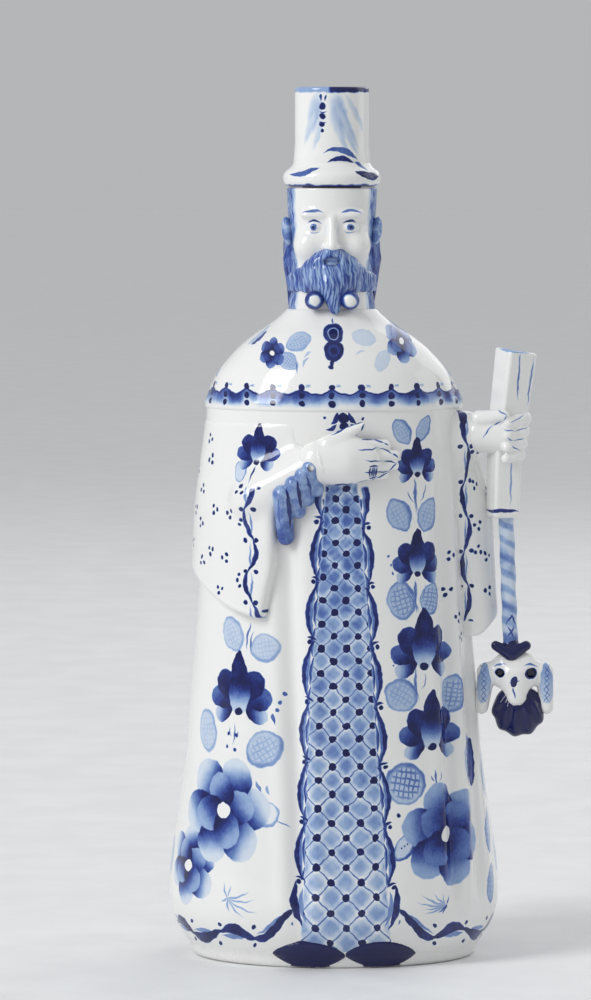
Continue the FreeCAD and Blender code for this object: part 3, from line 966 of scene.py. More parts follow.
def face_paint(p):
    """Calm brows and eyes, set out on the head's own proportions, and blue at the temples."""
    s = p.s
    u, v = s.split(p.hand)
    for side in (-1, 1):
        x = side * EYE_X * 1.06
        p.stroke(x + side * 0.3, BROW_Z + 0.6, side * -4, 3.7, 0.6, 0.2, side * -0.2, 0.5)
        p.stroke(x, EYE_Z + 1.0, 0, 2.9, 0.45, 0.42, 0.0, 0.9)
        p.stroke(x, EYE_Z - 1.3, 0, 2.2, 0.26, -0.3, 0.0, 0.4)
        p.dot(x, EYE_Z, 1.15, 0.55)
        p.dot(x, EYE_Z, 0.62, 1.0)
        p.stroke(side * 1.9, NOSE_Z + 0.4, 0, 0.9, 0.3, -0.3, 0.0, 0.35)
        p.stroke(side * 2.2, EYE_Z - 1.0, 90 + side * 4, 2.8, 0.24, side * 0.1, 0.0, 0.14)
    p.petal(0.0, LIP_Z + 0.75, 0, 2.6, 0.55, 0.34, 0.34)
    p.petal(0.0, LIP_Z - 0.75, 0, 2.1, 0.65, 0.28, 0.28)
    p.stroke(0.0, LIP_Z, 0, 2.9, 0.22, 0.0, 0.0, 0.6)
    temple = s.ramp(s.size(u), 13.5, 17.0, 0.0, 0.55)
    streaks = s.noise(s.join(s.times(u, 1.6), s.times(v, 0.25)), 1.0, 2.0)["Fac"]
    temple = s.times(temple, s.ramp(streaks, 0.35, 0.65, 0.5, 1.25))
    p.density = s.most(p.density, temple)


def hair_paint(dark, light):
    """Brushed locks: streaks that run down the strands."""
    def paint(p):
        s = p.s
        u, v = s.split(p.hand)
        wave = s.times(s.sine(s.times(v, 0.4)), 0.4)
        run = s.join(s.times(s.plus(u, wave), 1.5), s.times(v, 0.16))
        streaks = s.noise(run, 1.0, 3.0)["Fac"]
        low = s.ramp(v, NECK_Z, NECK_Z + 22.0, 1.12, 0.92)
        p.density = s.times(s.ramp(streaks, 0.34, 0.66, light, dark), low)
    return paint


def ear_paint(p):
    """A blue wash, darker in patches."""
    s = p.s
    cloud = s.noise(p.hand, 0.3, 2.0)["Fac"]
    p.density = s.ramp(cloud, 0.3, 0.7, 0.2, 0.5)


def bead_paint(p):
    s = p.s
    for side in (-1, 1):
        away = s.vector("DISTANCE", p.hand, (NECK_X + side * 6.1, 226.3, 0.0))
        p.density = s.most(p.density, s.times(s.ramp(away, 1.6, 2.6, 0.0, 0.75), s.ramp(away, 4.4, 4.0)))


def cuff_paint(p):
    """A blue wash with dark lines in its pleats."""
    s = p.s
    v = s.split(p.hand)[1]
    cloud = s.noise(p.hand, 0.35, 3.0)["Fac"]
    p.density = s.plus(s.ramp(cloud, 0.3, 0.7, 0.3, 0.46), s.ramp(v, 160.0, 143.0, 0.0, 0.2))
    for u, v, turn, half, width, bend, tone in (
            (-15.9, 157.0, 96, 8.0, 0.8, -0.06, 0.86), (-12.2, 161.4, 98, 5.6, 0.8, -0.06, 0.86),
            (-8.9, 164.6, 100, 4.4, 0.6, -0.06, 0.7), (-17.2, 144.8, 0, 3.0, 1.0, -0.4, 0.97),
            (-18.6, 155.0, 92, 6.0, 0.6, 0.05, 0.55)):
        p.stroke(u, v, turn, half, width, bend, 0.0, tone)


HAND_LINES = (
    ((-1.3, 181.4), (4.1, 184.1), (9.5, 186.1)), ((10.2, 185.6), (8.8, 182.7), (6.8, 181.1)),
    ((8.8, 180.0), (12.9, 180.0), (16.9, 179.0), (18.3, 177.7)),
    ((7.5, 176.6), (14.9, 177.0), (19.6, 175.3), (21.3, 173.9)),
    ((10.2, 172.9), (16.2, 172.9), (21.0, 171.8), (18.3, 169.2)),
    ((10.2, 168.9), (14.2, 168.9), (18.3, 169.2)),
    ((-4.0, 164.5), (6.8, 165.2), (14.2, 166.5), (18.3, 168.9)),
)


def chest_hand_paint(p):
    for route in HAND_LINES:
        p.line(route, 0.32, 0.78)
    for u, v, turn, half in ((12.0, 169.0, 90, 2.0), (14.0, 169.0, 90, 2.0), (13.0, 171.0, 0, 1.8),
                             (13.0, 167.0, 0, 1.8), (12.8, 169.0, 90, 2.2), (13.4, 169.0, 90, 2.2),
                             (13.0, 169.0, 0, 2.2)):
        p.stroke(u, v, turn, half, 0.36, 0.0, 0.0, 0.9)


def fist_paint(p):
    for route in (((50.6, 189.2), (55.6, 189.0), (58.7, 187.4), (57.6, 185.2), (54.0, 183.8), (50.4, 179.0)),
                  ((59.6, 184.4), (65.0, 187.0)), ((57.6, 182.2), (61.6, 181.6), (66.3, 182.8)),
                  ((58.9, 179.6), (61.0, 178.4), (65.4, 179.0)), ((60.4, 177.0), (63.4, 174.4))):
        p.line(route, 0.28, 0.6)


def grip_paint(p):
    p.line(((63.4, 208.6), (62.6, 192.0)), 0.4, 0.5)
    p.line(((68.0, 206.4), (66.0, 190.0)), 0.4, 0.4)
    p.line(((60.6, 172.0), (60.2, 156.0)), 0.36, 0.4)
    p.line(((56.4, 209.4), (67.0, 208.2)), 0.6, 0.3)
    p.line(((52.4, 154.0), (62.8, 154.2)), 0.8, 0.88)


def rod_paint(p):
    s = p.s
    u, v = s.split(p.hand)
    turn = s.madd(v, 2 * math.pi / 5.5, s.times(u, 0.55))
    band = s.ramp(s.sine(turn), -0.6, 0.95, 0.13, 0.32)
    cloud = s.noise(p.flat, 0.12, 1.0)["Fac"]
    p.density = s.plus(band, s.ramp(cloud, 0.4, 0.7, 0.0, 0.18))
    p.density = s.most(p.density, s.ramp(v, 114.0, 110.0, 0.0, 0.5))
    for u0, v0, turn in ((60.0, 116.5, 60), (61.4, 116.5, 120), (60.6, 112.4, 60), (60.6, 112.4, 120)):
        p.stroke(u0, v0, turn, 2.6, 0.4, 0.0, 0.0, 0.75)


def hound_paint(p):
    s = p.s
    for side, radius in ((-1, 1.25), (1, 1.5)):
        x = HOUND_X + side * 5.3
        p.dot(x, 98.3, radius + 0.6, 0.97)
        p.stroke(x, 100.6, side * -10, 2.6, 0.4, 0.3, 0.0, 0.5)
        p.petal(HOUND_X + side * 10.8, 94.6, 90 + side * 3, 6.6, 2.2, 0.2, 0.34, (1, 0), -0.2)
        for k in range(6):
            for turn in (52, 128):
                p.stroke(HOUND_X + side * 10.8, 99.4 - 2.0 * k, turn, 2.3, 0.26, 0.0, 0.0, 0.6)
    p.petal(HOUND_X - 0.6, 95.6, 90, 1.7, 1.2, 0.97, 0.9)
    p.line(((HOUND_X - 0.8, 93.8), (HOUND_X - 0.4, 89.6)), 0.4, 0.7)
    p.line(((HOUND_X - 2.4, 95.4), (HOUND_X + 1.4, 95.6)), 0.4, 0.8)


ROBE = porcelain("robe_porcelain", robe_paint)
CAPE = porcelain("cape_porcelain", cape_paint)
RIGHT_SLEEVE = porcelain("right_sleeve_porcelain", right_sleeve_paint)
LEFT_SLEEVE = porcelain("left_sleeve_porcelain", left_sleeve_paint)
CROWN = porcelain("hat_crown_porcelain", hat_crown_paint)
BRIM = porcelain("hat_brim_porcelain", hat_brim_paint)
FACE = porcelain("face_porcelain", face_paint)
BEARD = porcelain("beard_porcelain", hair_paint(0.66, 0.28))
HAIR = porcelain("hair_porcelain", hair_paint(0.86, 0.5))
EAR = porcelain("ear_porcelain", ear_paint)
BEAD = porcelain("bead_porcelain", bead_paint)
CUFF = porcelain("cuff_porcelain", cuff_paint)
CHEST_HAND = porcelain("chest_hand_porcelain", chest_hand_paint)
FIST = porcelain("fist_porcelain", fist_paint)
GRIP_GLAZE = porcelain("staff_grip_porcelain", grip_paint)
ROD = porcelain("rod_porcelain", rod_paint)
HOUND = porcelain("hound_porcelain", hound_paint)
DARK = porcelain("solid_cobalt_porcelain", ground=1.1)


# --- unglazed porcelain, cork and the studio floor ----------------------------------------------
def rough_material(name, low, high, scale, rough, depth, stretch=(1, 1, 1)):
    """A matt, grainy material whose colour runs between low and high."""
    material = bpy.data.materials.new(name)
    material.use_nodes = True
    s = Sketch(material.node_tree)
    space = s.vector("MULTIPLY", s.add("TexCoord", {}).outputs["Object"], stretch)
    noise = s.add("TexNoise", {"Vector": space, "Scale": scale, "Detail": 6.0, "Roughness": 0.62})
    grain = noise.outputs["Fac"]
    spots = s.add("TexVoronoi", {"Vector": space, "Scale": scale * 0.8}).outputs["Distance"]
    share = s.times(s.ramp(grain, 0.32, 0.68), s.ramp(spots, 0.0, 0.35, 0.55, 1.0))
    colour = s.add("Mix", {0: share, 6: (*low, 1), 7: (*high, 1)}, data_type="RGBA").outputs[2]
    shader = s.tree.nodes["Principled BSDF"]
    s.tree.links.new(colour, shader.inputs["Base Color"])
    s.tree.links.new(s.ramp(grain, 0.3, 0.7, rough - 0.06, rough + 0.06), shader.inputs["Roughness"])
    bump = s.add("Bump", {"Height": share, "Strength": 0.5, "Distance": depth})
    s.tree.links.new(bump.outputs["Normal"], shader.inputs["Normal"])
    return material


BISCUIT = rough_material("biscuit_porcelain", (0.76, 0.755, 0.74), (0.81, 0.805, 0.79), 900.0, 0.5, 0.00005)
CORK = rough_material("cork", (0.19, 0.10, 0.05), (0.55, 0.36, 0.2), 420.0, 0.8, 0.0004, (1, 1, 0.7))


def backdrop():
    return rough_material("studio_floor", (0.78, 0.785, 0.79), (0.82, 0.825, 0.83), 30.0, 0.6, 0.0001)


# --- bottle: foot, robe, cape -------------------------------------------------------------------
VALLEYS = (     # fold: (u at the cape, u at the hem, depth, width, fades in from, to)
    (-17.0, -11.5, 1.7, 3.2, 10.0, 165.0),
    (40.0, 45.0, 1.5, 3.0, 16.0, 178.0),
    (52.0, 58.0, 1.4, 3.4, 14.0, 120.0),
    (-40.0, -47.0, 0.7, 6.0, 12.0, 110.0),
    (-84.0, -92.0, 1.5, 5.0, 14.0, 175.0),
    (84.0, 92.0, 1.5, 5.0, 14.0, 175.0),
    (-112.0, -128.0, 1.6, 6.0, 14.0, 175.0),
    (112.0, 128.0, 1.6, 6.0, 14.0, 175.0),
)


def fold_depth(u, z):
    """How far the robe's cloth stands out from its plain oval wall."""
    out = np.zeros_like(u)
    for at_cape, at_hem, depth, width, low, high in VALLEYS:
        line = at_hem + (at_cape - at_hem) * smooth(0.0, CAPE_Z, z)
        fade = smooth(low - 6.0, low + 22.0, z) * (1 - smooth(high - 28.0, high, z))
        side = (u - line) / width
        out += depth * fade * (0.45 * np.exp(-((np.abs(side) - 1.9) ** 2)) - np.exp(-side**2))
    return out


def robe_ring(z):
    a, b = robe_size(z)
    u = a * arc_length(ROUND, DEPTH_SHARE)
    return ring(a, b, z, lift=fold_depth(u, np.full_like(u, z)))


def base_floor():
    profile = [(44.0, 0.0), (46.5, 0.0), (48.0, 0.35), (48.9, 1.3), (49.2, 2.6), (49.9, 4.2)]
    profile += [(51.2, FOOT_TOP)]
    rings = [ring(w, DEPTH_SHARE * w, z) for w, z in profile]
    inside = [(40.0, FOOT_TOP), (20.0, FOOT_TOP), (0.5, FOOT_TOP)]
    inside += [(0.5, 1.5), (20.0, 1.5), (41.0, 1.5), (42.5, 0.3)]
    rings += [ring(w, DEPTH_SHARE * w, z) for w, z in inside]
    walled("base_floor", np.array(rings), on_robe, "bottle", BISCUIT)


def robe_shell():
    up = np.concatenate([np.arange(FOOT_TOP, 32.0, 0.8), np.linspace(32.0, CAPE_Z, 130)])
    down = np.linspace(CAPE_Z, FOOT_TOP, 24)
    rings = [robe_ring(z) for z in up]
    rings += [ring(*(half - WALL for half in robe_size(z)), z) for z in down]
    walled("robe_shell", np.array(rings), on_robe, "bottle", ROBE)


def shoulder_cape():
    lip = [(43.2, -0.6), (43.9, -0.9), (44.35, -0.5), (44.5, 0.4), (44.4, 1.8)]
    up = np.linspace(CAPE_Z + 3.0, NECK_Z, 70)
    rings = [ring(w, DEPTH_SHARE * w, CAPE_Z + z) for w, z in lip]
    rings += [ring(*cape_size(z), z, x=centre_x(z)) for z in up]
    rings += [ring(*(half - WALL for half in cape_size(z)), z, x=centre_x(z))
              for z in np.linspace(NECK_Z, CAPE_Z - 0.7, 24)]
    walled("shoulder_cape", np.array(rings), on_cape, "bottle", CAPE)


# --- head ---------------------------------------------------------------------------------------
HEAD_WIDTH = curve([(NECK_Z - 2, 15.0), (NECK_Z, 15.0), (229.0, 14.3), (236.0, 14.3), (244.0, 14.2),
                    (252.0, 14.9), (258.0, 15.3), (MOUTH_Z, 15.6)])
HEAD_DEPTH = curve([(NECK_Z - 2, 14.4), (NECK_Z, 14.2), (229.0, 13.6), (240.0, 14.2), (252.0, 15.0),
                    (MOUTH_Z, 15.4)])


def head_size(z):
    return HEAD_WIDTH(z), HEAD_DEPTH(z)


def at(x, y, z):
    return (NECK_X + x, y, z)


def head_field(p):
    solid = oval(p, head_size)
    for side in (-1, 1):
        solid = join(solid, ellipsoid(p, at(side * 5.6, -12.9, BROW_Z), (5.4, 2.6, 1.7)), 1.6)
        solid = join(solid, ellipsoid(p, at(side * 8.0, -9.0, NOSE_Z + 1.5), (5.0, 5.6, 5.0)), 3.0)
        solid = cut(solid, ellipsoid(p, at(side * EYE_X, -16.6, EYE_Z), (3.7, 2.5, 2.4)), 1.4)
        solid = join(solid, ellipsoid(p, at(side * EYE_X, -11.9, EYE_Z), (2.9, 2.9, 2.1)), 0.6)
        wing = limb(p, at(side * 1.7, -16.0, NOSE_Z + 0.9), at(side * 1.9, -14.5, NOSE_Z + 1.0), 1.2, 1.2)
        solid = join(solid, wing, 0.7)
    solid = join(solid, limb(p, at(0, -14.4, BROW_Z - 1.0), at(0, -17.2, NOSE_Z + 1.4), 1.3, 1.9), 1.3)
    solid = join(solid, ellipsoid(p, at(0, -14.8, LIP_Z + 0.9), (3.1, 1.9, 0.9)), 0.7)
    solid = join(solid, ellipsoid(p, at(0, -14.7, LIP_Z - 0.8), (2.7, 2.0, 1.0)), 0.6)
    solid = common(solid, p[..., 2] - MOUTH_Z, 0.8)
    solid = common(solid, NECK_Z - 0.6 - p[..., 2], 0.2)
    bore = tube(p, NECK_X, 0.0, BORE_R)
    socket = common(tube(p, NECK_X, 0.0, SOCKET_R), SOCKET_Z - p[..., 2], 0.2)
    return cut(solid, np.minimum(bore, socket), 0.4)


def strands(p, pitch, depth):
    """Grooves that run down a mass of hair, waving a little."""
    angle = np.arctan2(p[..., 0] - NECK_X, -p[..., 1])
    wave = 0.5 * np.sin(0.45 * p[..., 2] + 2.0 * np.sin(3.0 * angle))
    return depth * np.sin(16.0 * angle * 2 * math.pi / pitch + wave)


def beard_field(p):
    solid = ellipsoid(p, at(0, -11.5, 235.0), (9.6, 7.0, 10.0))
    solid = join(solid, limb(p, at(0, -14.5, 231.0), at(1.0, -16.6, 223.2), 5.0, 1.7), 2.0)
    jaw = oval(p, head_size) - 1.3
    span = common(p[..., 2] - 244.0 + 0.6 * np.abs(p[..., 0] - NECK_X), 229.0 - p[..., 2], 2.0)
    edge = common(span, p[..., 1] + 0.5, 2.0)
    solid = join(solid, common(jaw, edge, 1.6), 2.5)
    for side in (-1, 1):
        tash = limb(p, at(side * 0.8, -17.0, NOSE_Z - 0.9), at(side * 6.6, -14.6, LIP_Z - 1.2), 1.6, 1.0)
        solid = join(solid, tash, 1.0)
    lips = ellipsoid(p, at(0, -17.4, LIP_Z), (3.0, 3.2, 1.5))
    solid = cut(solid, lips, 0.8) + strands(p, 5.0, 0.16)
    return common(solid, -(oval(p, head_size) + 2.0), 0.3)


def hair_field(p):
    solid = ellipsoid(p, at(0, 3.4, 243.5), (16.6, 14.2, 21.0))
    solid = join(solid, limb(p, at(-14.0, 0.5, 240.0), at(-13.2, -0.5, 224.5), 2.6, 1.6), 2.0)
    solid = join(solid, limb(p, at(14.0, 0.5, 240.0), at(13.2, -0.5, 224.5), 2.6, 1.6), 2.0)
    solid = common(solid, -4.0 - p[..., 1], 1.4) + strands(p, 5.6, 0.22)
    solid = common(solid, p[..., 2] - MOUTH_Z + 0.4, 0.8)
    return common(solid, -(oval(p, head_size) + 2.0), 0.3)


def ear_field(side):
    def field(p):
        solid = ellipsoid(p, at(side * 15.3, -2.8, EYE_Z - 1.5), (1.9, 2.9, 5.0), turn=side * 8)
        dish = ellipsoid(p, at(side * 17.3, -4.6, EYE_Z - 0.6), (1.4, 1.8, 3.0), turn=side * 8)
        return cut(solid, dish, 0.6)
    return field


def bead_field(side):
    return lambda p: ellipsoid(p, at(side * 6.1, -16.0, 226.3), (3.3, 3.1, 3.3))


def on_head(p):
    """Paint coordinates on the head: round it and up."""
    z = p[..., 2]
    angle = np.arctan2(p[..., 0] - NECK_X, -p[..., 1])
    return np.stack([15.0 * angle, z], axis=-1)


def flat_on(p):
    """Paint coordinates as seen from straight in front."""
    return p[..., [0, 2]]


def head():
    step = 0.36 if FINE else 0.7
    everywhere = (-20, -21, 220), (19, 20, 267)
    sculpt("head_shell", head_field, *everywhere, step, on_head, "painted_porcelain", FACE)
    sculpt("beard", beard_field, (-17, -22, 219), (16, 3, 247), step, on_head, "painted_porcelain", BEARD)
    sculpt("hair", hair_field, (-21, -7, 219), (20, 21, 267), step, on_head, "painted_porcelain", HAIR)
    for side, name in ((-1, "right"), (1, "left")):
        x = NECK_X + side * 15.5
        sculpt(f"{name}_ear", ear_field(side), (x - 4, -8, 241), (x + 4, 3, 257), step, on_head,
               "painted_porcelain", EAR)
        x = NECK_X + side * 6
        sculpt(f"collar_bead_{name}", bead_field(side), (x - 5, -21, 221), (x + 5, -11, 231), step, flat_on,
               "painted_porcelain", BEAD)


# --- figure's right arm, across the chest -------------------------------------------------------
def right_sleeve_field(p):
    wall = oval(p, robe_size)
    place = on_robe(p)
    u, z = place[..., 0], place[..., 1]
    lift = 0.3 + 2.8 * smooth(190.0, 150.0, z) * smooth(-98.0, -70.0, u)
    lift = lift + 1.6 * smooth(-50.0, -28.0, u) * smooth(172.0, 140.0, z)
    lift = lift - (lift - 0.25) * smooth(-28.0, -14.0, u) * smooth(158.0, 168.0, z)
    hem = 118.5 + 17.0 * smooth(-20.0, -75.0, u)
    edge = -23.0 + 3.4 * smooth(118.0, 140.0, z) + 7.0 * smooth(156.0, 166.0, z)
    bounds = common(common(hem - z, u - edge, 3.0), common(-104.0 - u, z - 186.0, 2.0), 3.0)
    hanging = common(wall - lift, bounds, 2.6)
    forearm = limb(p, (-28.0, -29.0, 159.5), (-3.0, -37.2, 173.0), 6.8, 7.2)
    forearm = common(forearm, p[..., 0] + 0.3 * (p[..., 2] - 172.0) + 4.0, 0.3)
    solid = join(hanging, forearm, 5.0)
    return common(solid, -(wall + 2.5), 0.4)


PLEATS = (      # of the cuff: (x and height at its top, x and height at its foot, thickness)
    (-17.8, 161.4, -16.6, 146.8, 2.9),
    (-14.0, 165.0, -12.2, 155.6, 2.5),
    (-10.8, 168.0, -9.2, 159.6, 2.4),
    (-8.2, 170.6, -6.2, 163.0, 2.5),
)


def cuff_field(p):
    wall = oval(p, robe_size)
    solid = 9.0
    for x0, z0, x1, z1, r in PLEATS:
        ends = [(x, -math.sqrt(1 - (x / 45.0) ** 2) * 36.2 - lift, z)
                for x, z, lift in ((x0, z0, 5.6), (x1, z1, 1.2))]
        solid = join(solid, limb(p, *ends, r + 0.5, r), 0.5)
    return common(solid, -(wall + 1.5), 0.3)


FINGERS = (     # of the hand on the chest: (height of the root, tip x, height of the tip, thickness)
    (178.4, 17.2, 178.0, 1.8),
    (174.9, 20.4, 174.5, 1.85),
    (171.2, 20.0, 171.0, 1.8),
    (167.6, 16.8, 168.0, 1.6),
)


def on_chest(x):
    """How far forward the chest is under the hand."""
    return -37.6 + 0.0095 * x**2


def chest_hand_field(p):
    solid = ellipsoid(p, (2.6, -38.2, 172.9), (12.6, 4.7, 8.3))
    solid = join(solid, limb(p, (-6.0, -36.9, 172.4), (3.0, -37.0, 172.8), 6.9, 6.6), 3.0)
    for root_z, tip_x, tip_z, r in FINGERS:
        finger = limb(p, (5.0, on_chest(5.0) - 1.2, root_z), (tip_x, on_chest(tip_x), tip_z), r + 0.35, r)
        solid = join(solid, finger, 0.9)
    thumb = limb(p, (-2.0, -38.8, 178.6), (9.0, -38.2, 184.6), 3.0, 1.4)
    solid = join(solid, thumb, 1.6)
    return common(solid, -(oval(p, robe_size) + 1.5), 0.3)


def right_arm():
    step = 0.55 if FINE else 1.1
    sculpt("right_sleeve", right_sleeve_field, (-56, -52, 112), (4, 44, 194), step, on_robe,
           "painted_porcelain", RIGHT_SLEEVE)
    step = 0.4 if FINE else 0.7
    sculpt("right_cuff", cuff_field, (-24, -44, 139), (4, -28, 180), step, flat_on,
           "painted_porcelain", CUFF)
    sculpt("right_hand", chest_hand_field, (-15, -47, 160), (26, -26, 192), step, flat_on,
           "white_porcelain", CHEST_HAND)


# --- figure's left arm, staff and hound ---------------------------------------------------------
def left_sleeve_field(p):
    wall = oval(p, robe_size)
    place = on_robe(p)
    u, z = place[..., 0], place[..., 1]
    lift = 0.3 + 9.2 * smooth(44.0, 62.0, u) * (1 - 0.75 * smooth(66.0, 96.0, u)) * smooth(196.0, 150.0, z)
    hem = 108.0 + 8.0 * smooth(50.0, 62.0, u) + 0.006 * np.clip(u - 62.0, 0.0, None) ** 2
    edge = 47.5 + 6.0 * smooth(185.0, 110.0, z)
    bounds = common(common(hem - z, edge - u, 3.0), common(u - 100.0, z - 186.0, 2.0), 3.0)
    hanging = common(wall - lift, bounds, 3.0)
    forearm = limb(p, (36.0, ARM_Y + 2.0, 180.5), (53.0, ARM_Y, 180.5), 8.0, 6.6)
    solid = join(hanging, forearm, 6.0)
    return common(solid, -(wall + 2.5), 0.4)


GRIP = (        # stations down the block in the fist: (height, middle x, half width, half depth, turn)
    (208.7, 62.4, 5.7, 5.4, 30.0),
    (188.0, 59.8, 5.2, 5.0, 28.0),
    (176.0, 58.4, 4.9, 4.7, 22.0),
    (151.5, 57.8, 4.7, 4.5, 20.0),
)


def grip_field(p):
    heights, middles, halves, depths, turns = (np.array(c)[::-1] for c in zip(*GRIP))
    z = p[..., 2]
    spin = np.radians(np.interp(z, heights, turns))
    x, y = p[..., 0] - np.interp(z, heights, middles), p[..., 1] - ARM_Y
    q = np.stack([np.cos(spin) * x + np.sin(spin) * y, np.cos(spin) * y - np.sin(spin) * x], axis=-1)
    rounding = 1.1
    half = np.stack([np.interp(z, heights, halves), np.interp(z, heights, depths)], axis=-1)
    d = np.abs(q) - half + rounding
    corner = np.hypot(np.maximum(d[..., 0], 0), np.maximum(d[..., 1], 0))
    flat = corner + np.minimum(d.max(axis=-1), 0) - rounding
    lean = z + 0.16 * x
    return common(flat, np.maximum(lean - heights[-1] - 0.3, heights[0] - z), 1.3)


def fist_field(p):
    solid = limb(p, (50.0, ARM_Y - 0.5, 180.8), (58.0, ARM_Y - 1.0, 180.5), 7.0, 7.6)
    for k, z in enumerate((185.4, 181.2, 177.0, 173.0)):
        r = (2.4, 2.45, 2.35, 2.1)[k]
        out = 65.0 - 0.55 * k
        knuckle = (out, ARM_Y - 1.0, z + 0.3)
        solid = join(solid, limb(p, (61.5, ARM_Y + 5.0, z), knuckle, r, r), 0.8)
        solid = join(solid, limb(p, knuckle, (59.6 - 0.3 * k, ARM_Y - 7.2, z - 0.9), r, 0.85 * r), 0.6)
    thumb = limb(p, (49.5, ARM_Y - 5.0, 185.8), (58.0, ARM_Y - 7.6, 187.0), 2.9, 1.9)
    return join(solid, thumb, 1.0)


ROD_TOP = (59.0, 152.2)
ROD_FOOT = (60.6, 106.5)
ROD_R = 2.6
TWIST = 2 * math.pi / 11.0


def rod_field(p):
    x0 = ROD_FOOT[0] + (ROD_TOP[0] - ROD_FOOT[0]) * (p[..., 2] - ROD_FOOT[1]) / (ROD_TOP[1] - ROD_FOOT[1])
    x, y = p[..., 0] - x0, p[..., 1] - ARM_Y
    ridge = 0.13 * np.cos(3 * np.arctan2(y, x) - TWIST * p[..., 2])
    ends = np.maximum(p[..., 2] - ROD_TOP[1], ROD_FOOT[1] - p[..., 2])
    return common(np.hypot(x, y) - ROD_R - ridge, ends, 0.6)


def collar_field(p):
    solid = limb(p, (60.8, ARM_Y - 0.5, 105.0), (60.7, ARM_Y, 108.0), 3.4, 2.8)
    for side in (-1, 1):
        horn = limb(p, (60.8, ARM_Y - 2.4, 104.6), (60.7 + side * 5.2, ARM_Y - 1.8, 107.6), 2.3, 1.7)
        solid = join(solid, horn, 0.8)
    return solid


def hound_field(p):
    flat = p * np.array([1.0, 1.25, 1.0])
    y = ARM_Y * 1.25

    def q(x, out, z):
        return (HOUND_X + x, y - out, z)

    solid = limb(flat, q(-3.2, 0.0, 101.0), q(3.0, 0.0, 101.2), 4.2, 4.2)
    solid = join(solid, limb(flat, q(-4.2, 0.6, 97.5), q(4.4, 0.6, 97.5), 4.6, 4.6), 2.0)
    solid = join(solid, limb(flat, q(0.0, 2.0, 96.5), q(0.4, 4.4, 90.2), 6.6, 3.4), 2.0)
    for side, bend in ((-1, 0.6), (1, 0.0)):
        solid = join(solid, limb(flat, q(side * 5.0, 0.2, 99.8), q(side * 9.6, 0.0, 98.6), 2.6, 3.0), 2.0)
        ear = limb(flat, q(side * 9.9, 0.2, 98.2), q(side * (10.9 + bend), 0.6, 86.2), 3.2, 2.3)
        solid = join(solid, ear, 1.2)
    for side, radius in ((-1, 1.25), (1, 1.5)):
        hole = np.hypot(p[..., 0] - HOUND_X - side * 5.3, p[..., 2] - 98.3) - radius
        hole = np.maximum(hole, p[..., 1] - ARM_Y + 1.0)
        solid = cut(solid, hole, 0.7)
    return solid


def besom_field(p):
    solid = ellipsoid(p, (HOUND_X + 1.2, ARM_Y + 0.6, 85.2), (9.0, 5.6, 9.0))
    angle = np.arctan2(p[..., 0] - HOUND_X - 1.2, 97.0 - p[..., 2])
    groove = 0.35 * np.sin(22.0 * angle) * smooth(93.0, 84.0, p[..., 2])
    return common(solid + groove, p[..., 2] - 93.0, 1.0)


def left_arm():
    step = 0.55 if FINE else 1.1
    sculpt("left_sleeve", left_sleeve_field, (30, -34, 102), (64, 42, 194), step, on_staff_arm,
           "painted_porcelain", LEFT_SLEEVE)
    step = 0.4 if FINE else 0.7
    for name, field, low, high, slot, material in (
            ("staff_grip", grip_field, (49, -19, 149), (72, 1, 212), "white_porcelain", GRIP_GLAZE),
            ("left_hand", fist_field, (40, -23, 167), (71, 3, 193), "white_porcelain", FIST),
            ("twisted_rod", rod_field, (54, -15, 105), (66, -3, 154), "painted_porcelain", ROD),
            ("hound_collar", collar_field, (51, -18, 98), (71, -3, 113), "cobalt_porcelain", DARK),
            ("hound_head", hound_field, (44, -22, 80), (80, 1, 108), "painted_porcelain", HOUND),
            ("besom", besom_field, (51, -18, 73), (76, 0, 96), "cobalt_porcelain", DARK)):
        sculpt(name, field, low, high, step, flat_on, slot, material)


# --- shoes --------------------------------------------------------------------------------------
SHOE_X = 3.6


def shoe_field(side):
    def field(p):
        place = on_robe(p)
        along = (np.abs(place[..., 0] - SHOE_X) - 12.4) / 12.6
        middle = 4.7 + (0.3 if side < 0 else -0.1) * along
        across = (place[..., 1] - middle) / 4.7
        leaf = 1.0 - along**2 - np.abs(across) ** 1.3
        wrong_side = -side * (place[..., 0] - SHOE_X)
        lift = 1.5 * np.sqrt(np.clip(leaf, 0.0, None)) + 0.9 * np.minimum(leaf, 0.0)
        solid = oval(p, robe_size) - lift
        solid = np.maximum(solid, wrong_side)
        return common(solid, -(oval(p, robe_size) + 1.2), 0.3)
    return field


def shoes():
    step = 0.35 if FINE else 0.6
    for side, name in ((-1, "right_shoe"), (1, "left_shoe")):
        x = SHOE_X + side * 13
        sculpt(name, shoe_field(side), (x - 15, -50, 0.4), (x + 15, -33, 12.5), step, on_robe,
               "cobalt_porcelain", DARK)


# --- stopper ------------------------------------------------------------------------------------
def hat_ring(r, z):
    return ring(r, r, z, x=NECK_X)


def on_hat(p):
    angle = np.arctan2(p[..., 0] - NECK_X, -p[..., 1])
    return np.stack([13.0 * angle, p[..., 2]], axis=-1)


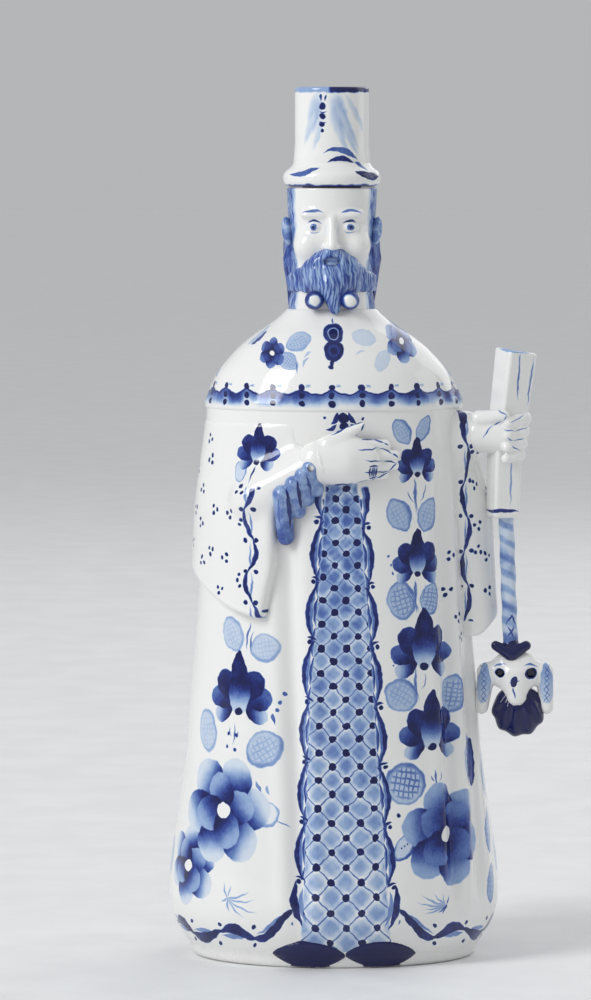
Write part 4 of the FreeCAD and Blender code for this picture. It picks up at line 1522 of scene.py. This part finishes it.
def stopper():
    underside = [(8.0, HAT_FOOT), (14.6, HAT_FOOT), (15.6, HAT_FOOT + 0.25), (16.3, HAT_FOOT + 1.0)]
    roll = [(16.7, HAT_FOOT + 2.0), (16.85, HAT_FOOT + 3.2), (16.6, HAT_FOOT + 4.3), (16.0, HAT_FOOT + 5.2)]
    flare = [(15.2, HAT_FOOT + 5.9), (14.3, HAT_FOOT + 6.6), (13.6, HAT_FOOT + 7.4), (13.2, BRIM_TOP)]
    inside = [(10.4, BRIM_TOP), (10.4, HAT_FOOT + 2.6), (8.0, HAT_FOOT + 2.6)]
    rings = [hat_ring(r, z) for r, z in underside + roll + flare + inside]
    walled("hat_brim", np.array(rings), on_hat, "stopper", BRIM)

    wall = [(13.2 - 0.45 * smooth(BRIM_TOP, BRIM_TOP + 7, z), z)
            for z in np.linspace(BRIM_TOP, HAT_TOP - 1.2, 60)]
    rim = [(12.72, HAT_TOP - 0.7), (12.5, HAT_TOP - 0.2), (12.1, HAT_TOP), (11.6, HAT_TOP - 0.2)]
    dish = [(11.0, HAT_TOP - 0.9), (9.0, HAT_TOP - 1.3), (5.0, HAT_TOP - 1.5), (0.4, HAT_TOP - 1.6)]
    inside = [(0.4, HAT_TOP - 4.0), (10.2, HAT_TOP - 4.0), (10.4, BRIM_TOP)]
    rings = [hat_ring(r, z) for r, z in wall + rim + dish + inside]
    walled("hat_crown", np.array(rings), on_hat, "stopper", CROWN)


def carried_nodes():
    """The plug and cork keep their CAD shapes and take procedural materials."""
    for node, material in (("stopper_plug", BISCUIT), ("cork_sleeve", CORK)):
        slots = frame["nodes"][node].data.materials
        slots.clear()
        slots.append(material)


base_floor()
robe_shell()
shoulder_cape()
head()
right_arm()
left_arm()
shoes()
stopper()
carried_nodes()


# --- floor, light and camera --------------------------------------------------------------------
def look(thing, target):
    way = np.array(target) - np.array(thing.location)
    thing.rotation_euler = (math.atan2(math.hypot(way[0], way[1]), -way[2]), 0.0, math.atan2(-way[0], way[1]))


def camera():
    data = bpy.data.cameras.new("camera")
    data.sensor_width = 36.0
    data.lens = 202.0
    data.clip_end = 20.0
    made = bpy.data.objects.new("camera", data)
    made.location = (-0.0133, -1.93, 0.285)
    look(made, (-0.0133, 0.0, 0.1570))
    bpy.context.scene.collection.objects.link(made)
    bpy.context.scene.camera = made


def lamp(name, place, target, size, power):
    data = bpy.data.lights.new(name, "AREA")
    data.shape = "RECTANGLE"
    data.size, data.size_y = size
    data.energy = power
    made = bpy.data.objects.new(name, data)
    made.location = place
    look(made, target)
    bpy.context.scene.collection.objects.link(made)


def floor():
    reach = 40.0
    mesh = bpy.data.meshes.new("floor")
    corners = [(-reach, -reach, 0), (reach, -reach, 0), (reach, reach, 0), (-reach, reach, 0)]
    mesh.from_pydata(corners, [], [(0, 1, 2, 3)])
    made = bpy.data.objects.new("floor", mesh)
    bpy.context.scene.collection.objects.link(made)
    made.data.materials.append(backdrop())


def world():
    """A pale room that is brighter overhead; at its horizon it is as bright as the far floor."""
    made = bpy.data.worlds.new("studio")
    bpy.context.scene.world = made
    made.use_nodes = True
    s = Sketch(made.node_tree)
    height = s.add("SeparateXYZ", {0: s.add("TexCoord", {}).outputs["Generated"]}).outputs["Z"]
    low, high = ((*(level * tone for tone in (0.98, 1.0, 1.02)), 1) for level in (HORIZON, OVERHEAD))
    colour = s.add("Mix", {0: s.most(height, 0.0), 6: low, 7: high}, data_type="RGBA").outputs[2]
    s.tree.links.new(colour, made.node_tree.nodes["Background"].inputs["Color"])


OVERHEAD = 0.62
HORIZON = 0.75 * OVERHEAD      # what a floor of albedo 0.8 sends back of such a room's light
bpy.context.scene.view_settings.view_transform = "Standard"
camera()
floor()
world()
lamp("key", (-1.7, -1.2, 1.5), (0, 0, 0.15), (0.9, 1.4), 34)
lamp("fill", (2.0, 0.5, 0.9), (0, 0, 0.15), (1.1, 1.6), 5)
lamp("rim", (0.9, 1.4, 1.2), (0, 0, 0.2), (1.4, 1.4), 7)
